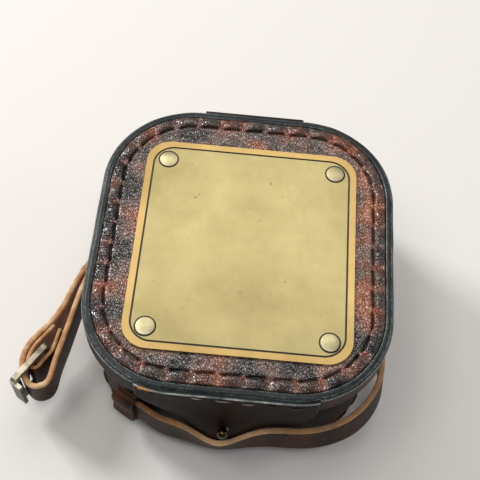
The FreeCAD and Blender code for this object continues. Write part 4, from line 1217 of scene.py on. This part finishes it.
def makeCamera(look):
    e, a, r = (math.radians(look[k]) for k in ("elevation", "azimuth", "roll"))
    back = Vector((math.sin(a) * math.cos(e), -math.cos(a) * math.cos(e), math.sin(e)))
    right = Vector((math.cos(a), math.sin(a), 0))
    up = back.cross(right)
    x = right * math.cos(r) + up * math.sin(r)
    y = -right * math.sin(r) + up * math.cos(r)
    place = Vector((*look["shift"], 0)) * look["lidWidth"] + back * look["distance"] * look["lidWidth"]
    place.z += plan["caseTop"] * mm
    data = bpy.data.cameras.new("camera")
    data.lens = look["lens"]
    data.sensor_width = 36
    data.clip_start = 0.01
    thing = bpy.data.objects.new("camera", data)
    bpy.context.scene.collection.objects.link(thing)
    thing.matrix_world = Matrix.Translation(place) @ Matrix((x, y, back)).transposed().to_4x4()
    bpy.context.scene.camera = thing


makeCamera(camera)

# soft panels round the case
lights = [
    # name, place in metres, size in metres, radiance at its face, colour
    ("skyPanel", (-0.05, 0.50, 0.85), (1.0, 0.6), 1.8, "#fff7ed"),
    ("keyPanel", (-0.45, -0.05, 1.0), (0.4, 0.4), 3.8, "#fff8ee"),
    ("leftPanel", (-1.35, 0.90, 1.04), (0.46, 0.46), 36.0, "#ffffff"),
    ("frontFill", (0.08, -0.30, 1.0), (0.2, 0.2), 13.0, "#f6f8ff"),
    ("rightPanel", (0.85, 0.15, 0.40), (0.3, 0.5), 2.0, "#ffffff"),
]
lightAim = Vector((0, 0, 0.03))
for name, place, size, radiance, colour in lights:
    data = bpy.data.lights.new(name, "AREA")
    data.shape = "RECTANGLE"
    data.size, data.size_y = size
    data.energy = radiance * math.pi * size[0] * size[1]
    data.color = toLinear(colour)[:3]
    lamp = bpy.data.objects.new(name, data)
    bpy.context.scene.collection.objects.link(lamp)
    lamp.location = place
    lamp.rotation_euler = (lightAim - Vector(place)).to_track_quat("-Z", "Y").to_euler()

# the room lights the case, and the camera sees a paler backdrop
backdropColour = "#f2f1ef"
world = bpy.data.worlds.new("studio")
bpy.context.scene.world = world
world.use_nodes = True
world.node_tree.nodes.clear()
add = partial(addNode, world.node_tree)
room = add("Background", {"Color": "#d6d8da", "Strength": 0.22})
backdrop = add("Background", {"Color": backdropColour, "Strength": 1.0})
seen = add("LightPath").outputs["Is Camera Ray"]
add("OutputWorld", (), {"Surface": add("MixShader", (), {0: seen, 1: room, 2: backdrop})})

# matt paper: far from the case it turns into the backdrop, for the camera only
floorMaterial, add, at = newMaterial("matt pale paper sweep")
paper = add("BsdfPrincipled", {"Base Color": "#eceae6", "Roughness": 0.9})
away = add("VectorMath", {"operation": "LENGTH"}, {0: at["Vector"]})
fade = add("MapRange", {"interpolation_type": "SMOOTHSTEP", "From Min": 0.35, "From Max": 1.1},
           {"Value": away})
seen = add("LightPath").outputs["Is Camera Ray"]
share = add("Math", {"operation": "MULTIPLY"}, {0: fade, 1: seen})
glow = add("Emission", {"Color": backdropColour})
add("OutputMaterial", (), {"Surface": add("MixShader", (), {0: share, 1: paper, 2: glow})})
floorMesh = bpy.data.meshes.new("floor")
floorMesh.from_pydata([(-3, -3, 0), (3, -3, 0), (3, 3, 0), (-3, 3, 0)], [], [(0, 1, 2, 3)])
floorMesh.materials.append(floorMaterial)
floor = bpy.data.objects.new("floor", floorMesh)
bpy.context.scene.collection.objects.link(floor)

bpy.context.scene.view_settings.view_transform = "Standard"
print("scene ready")
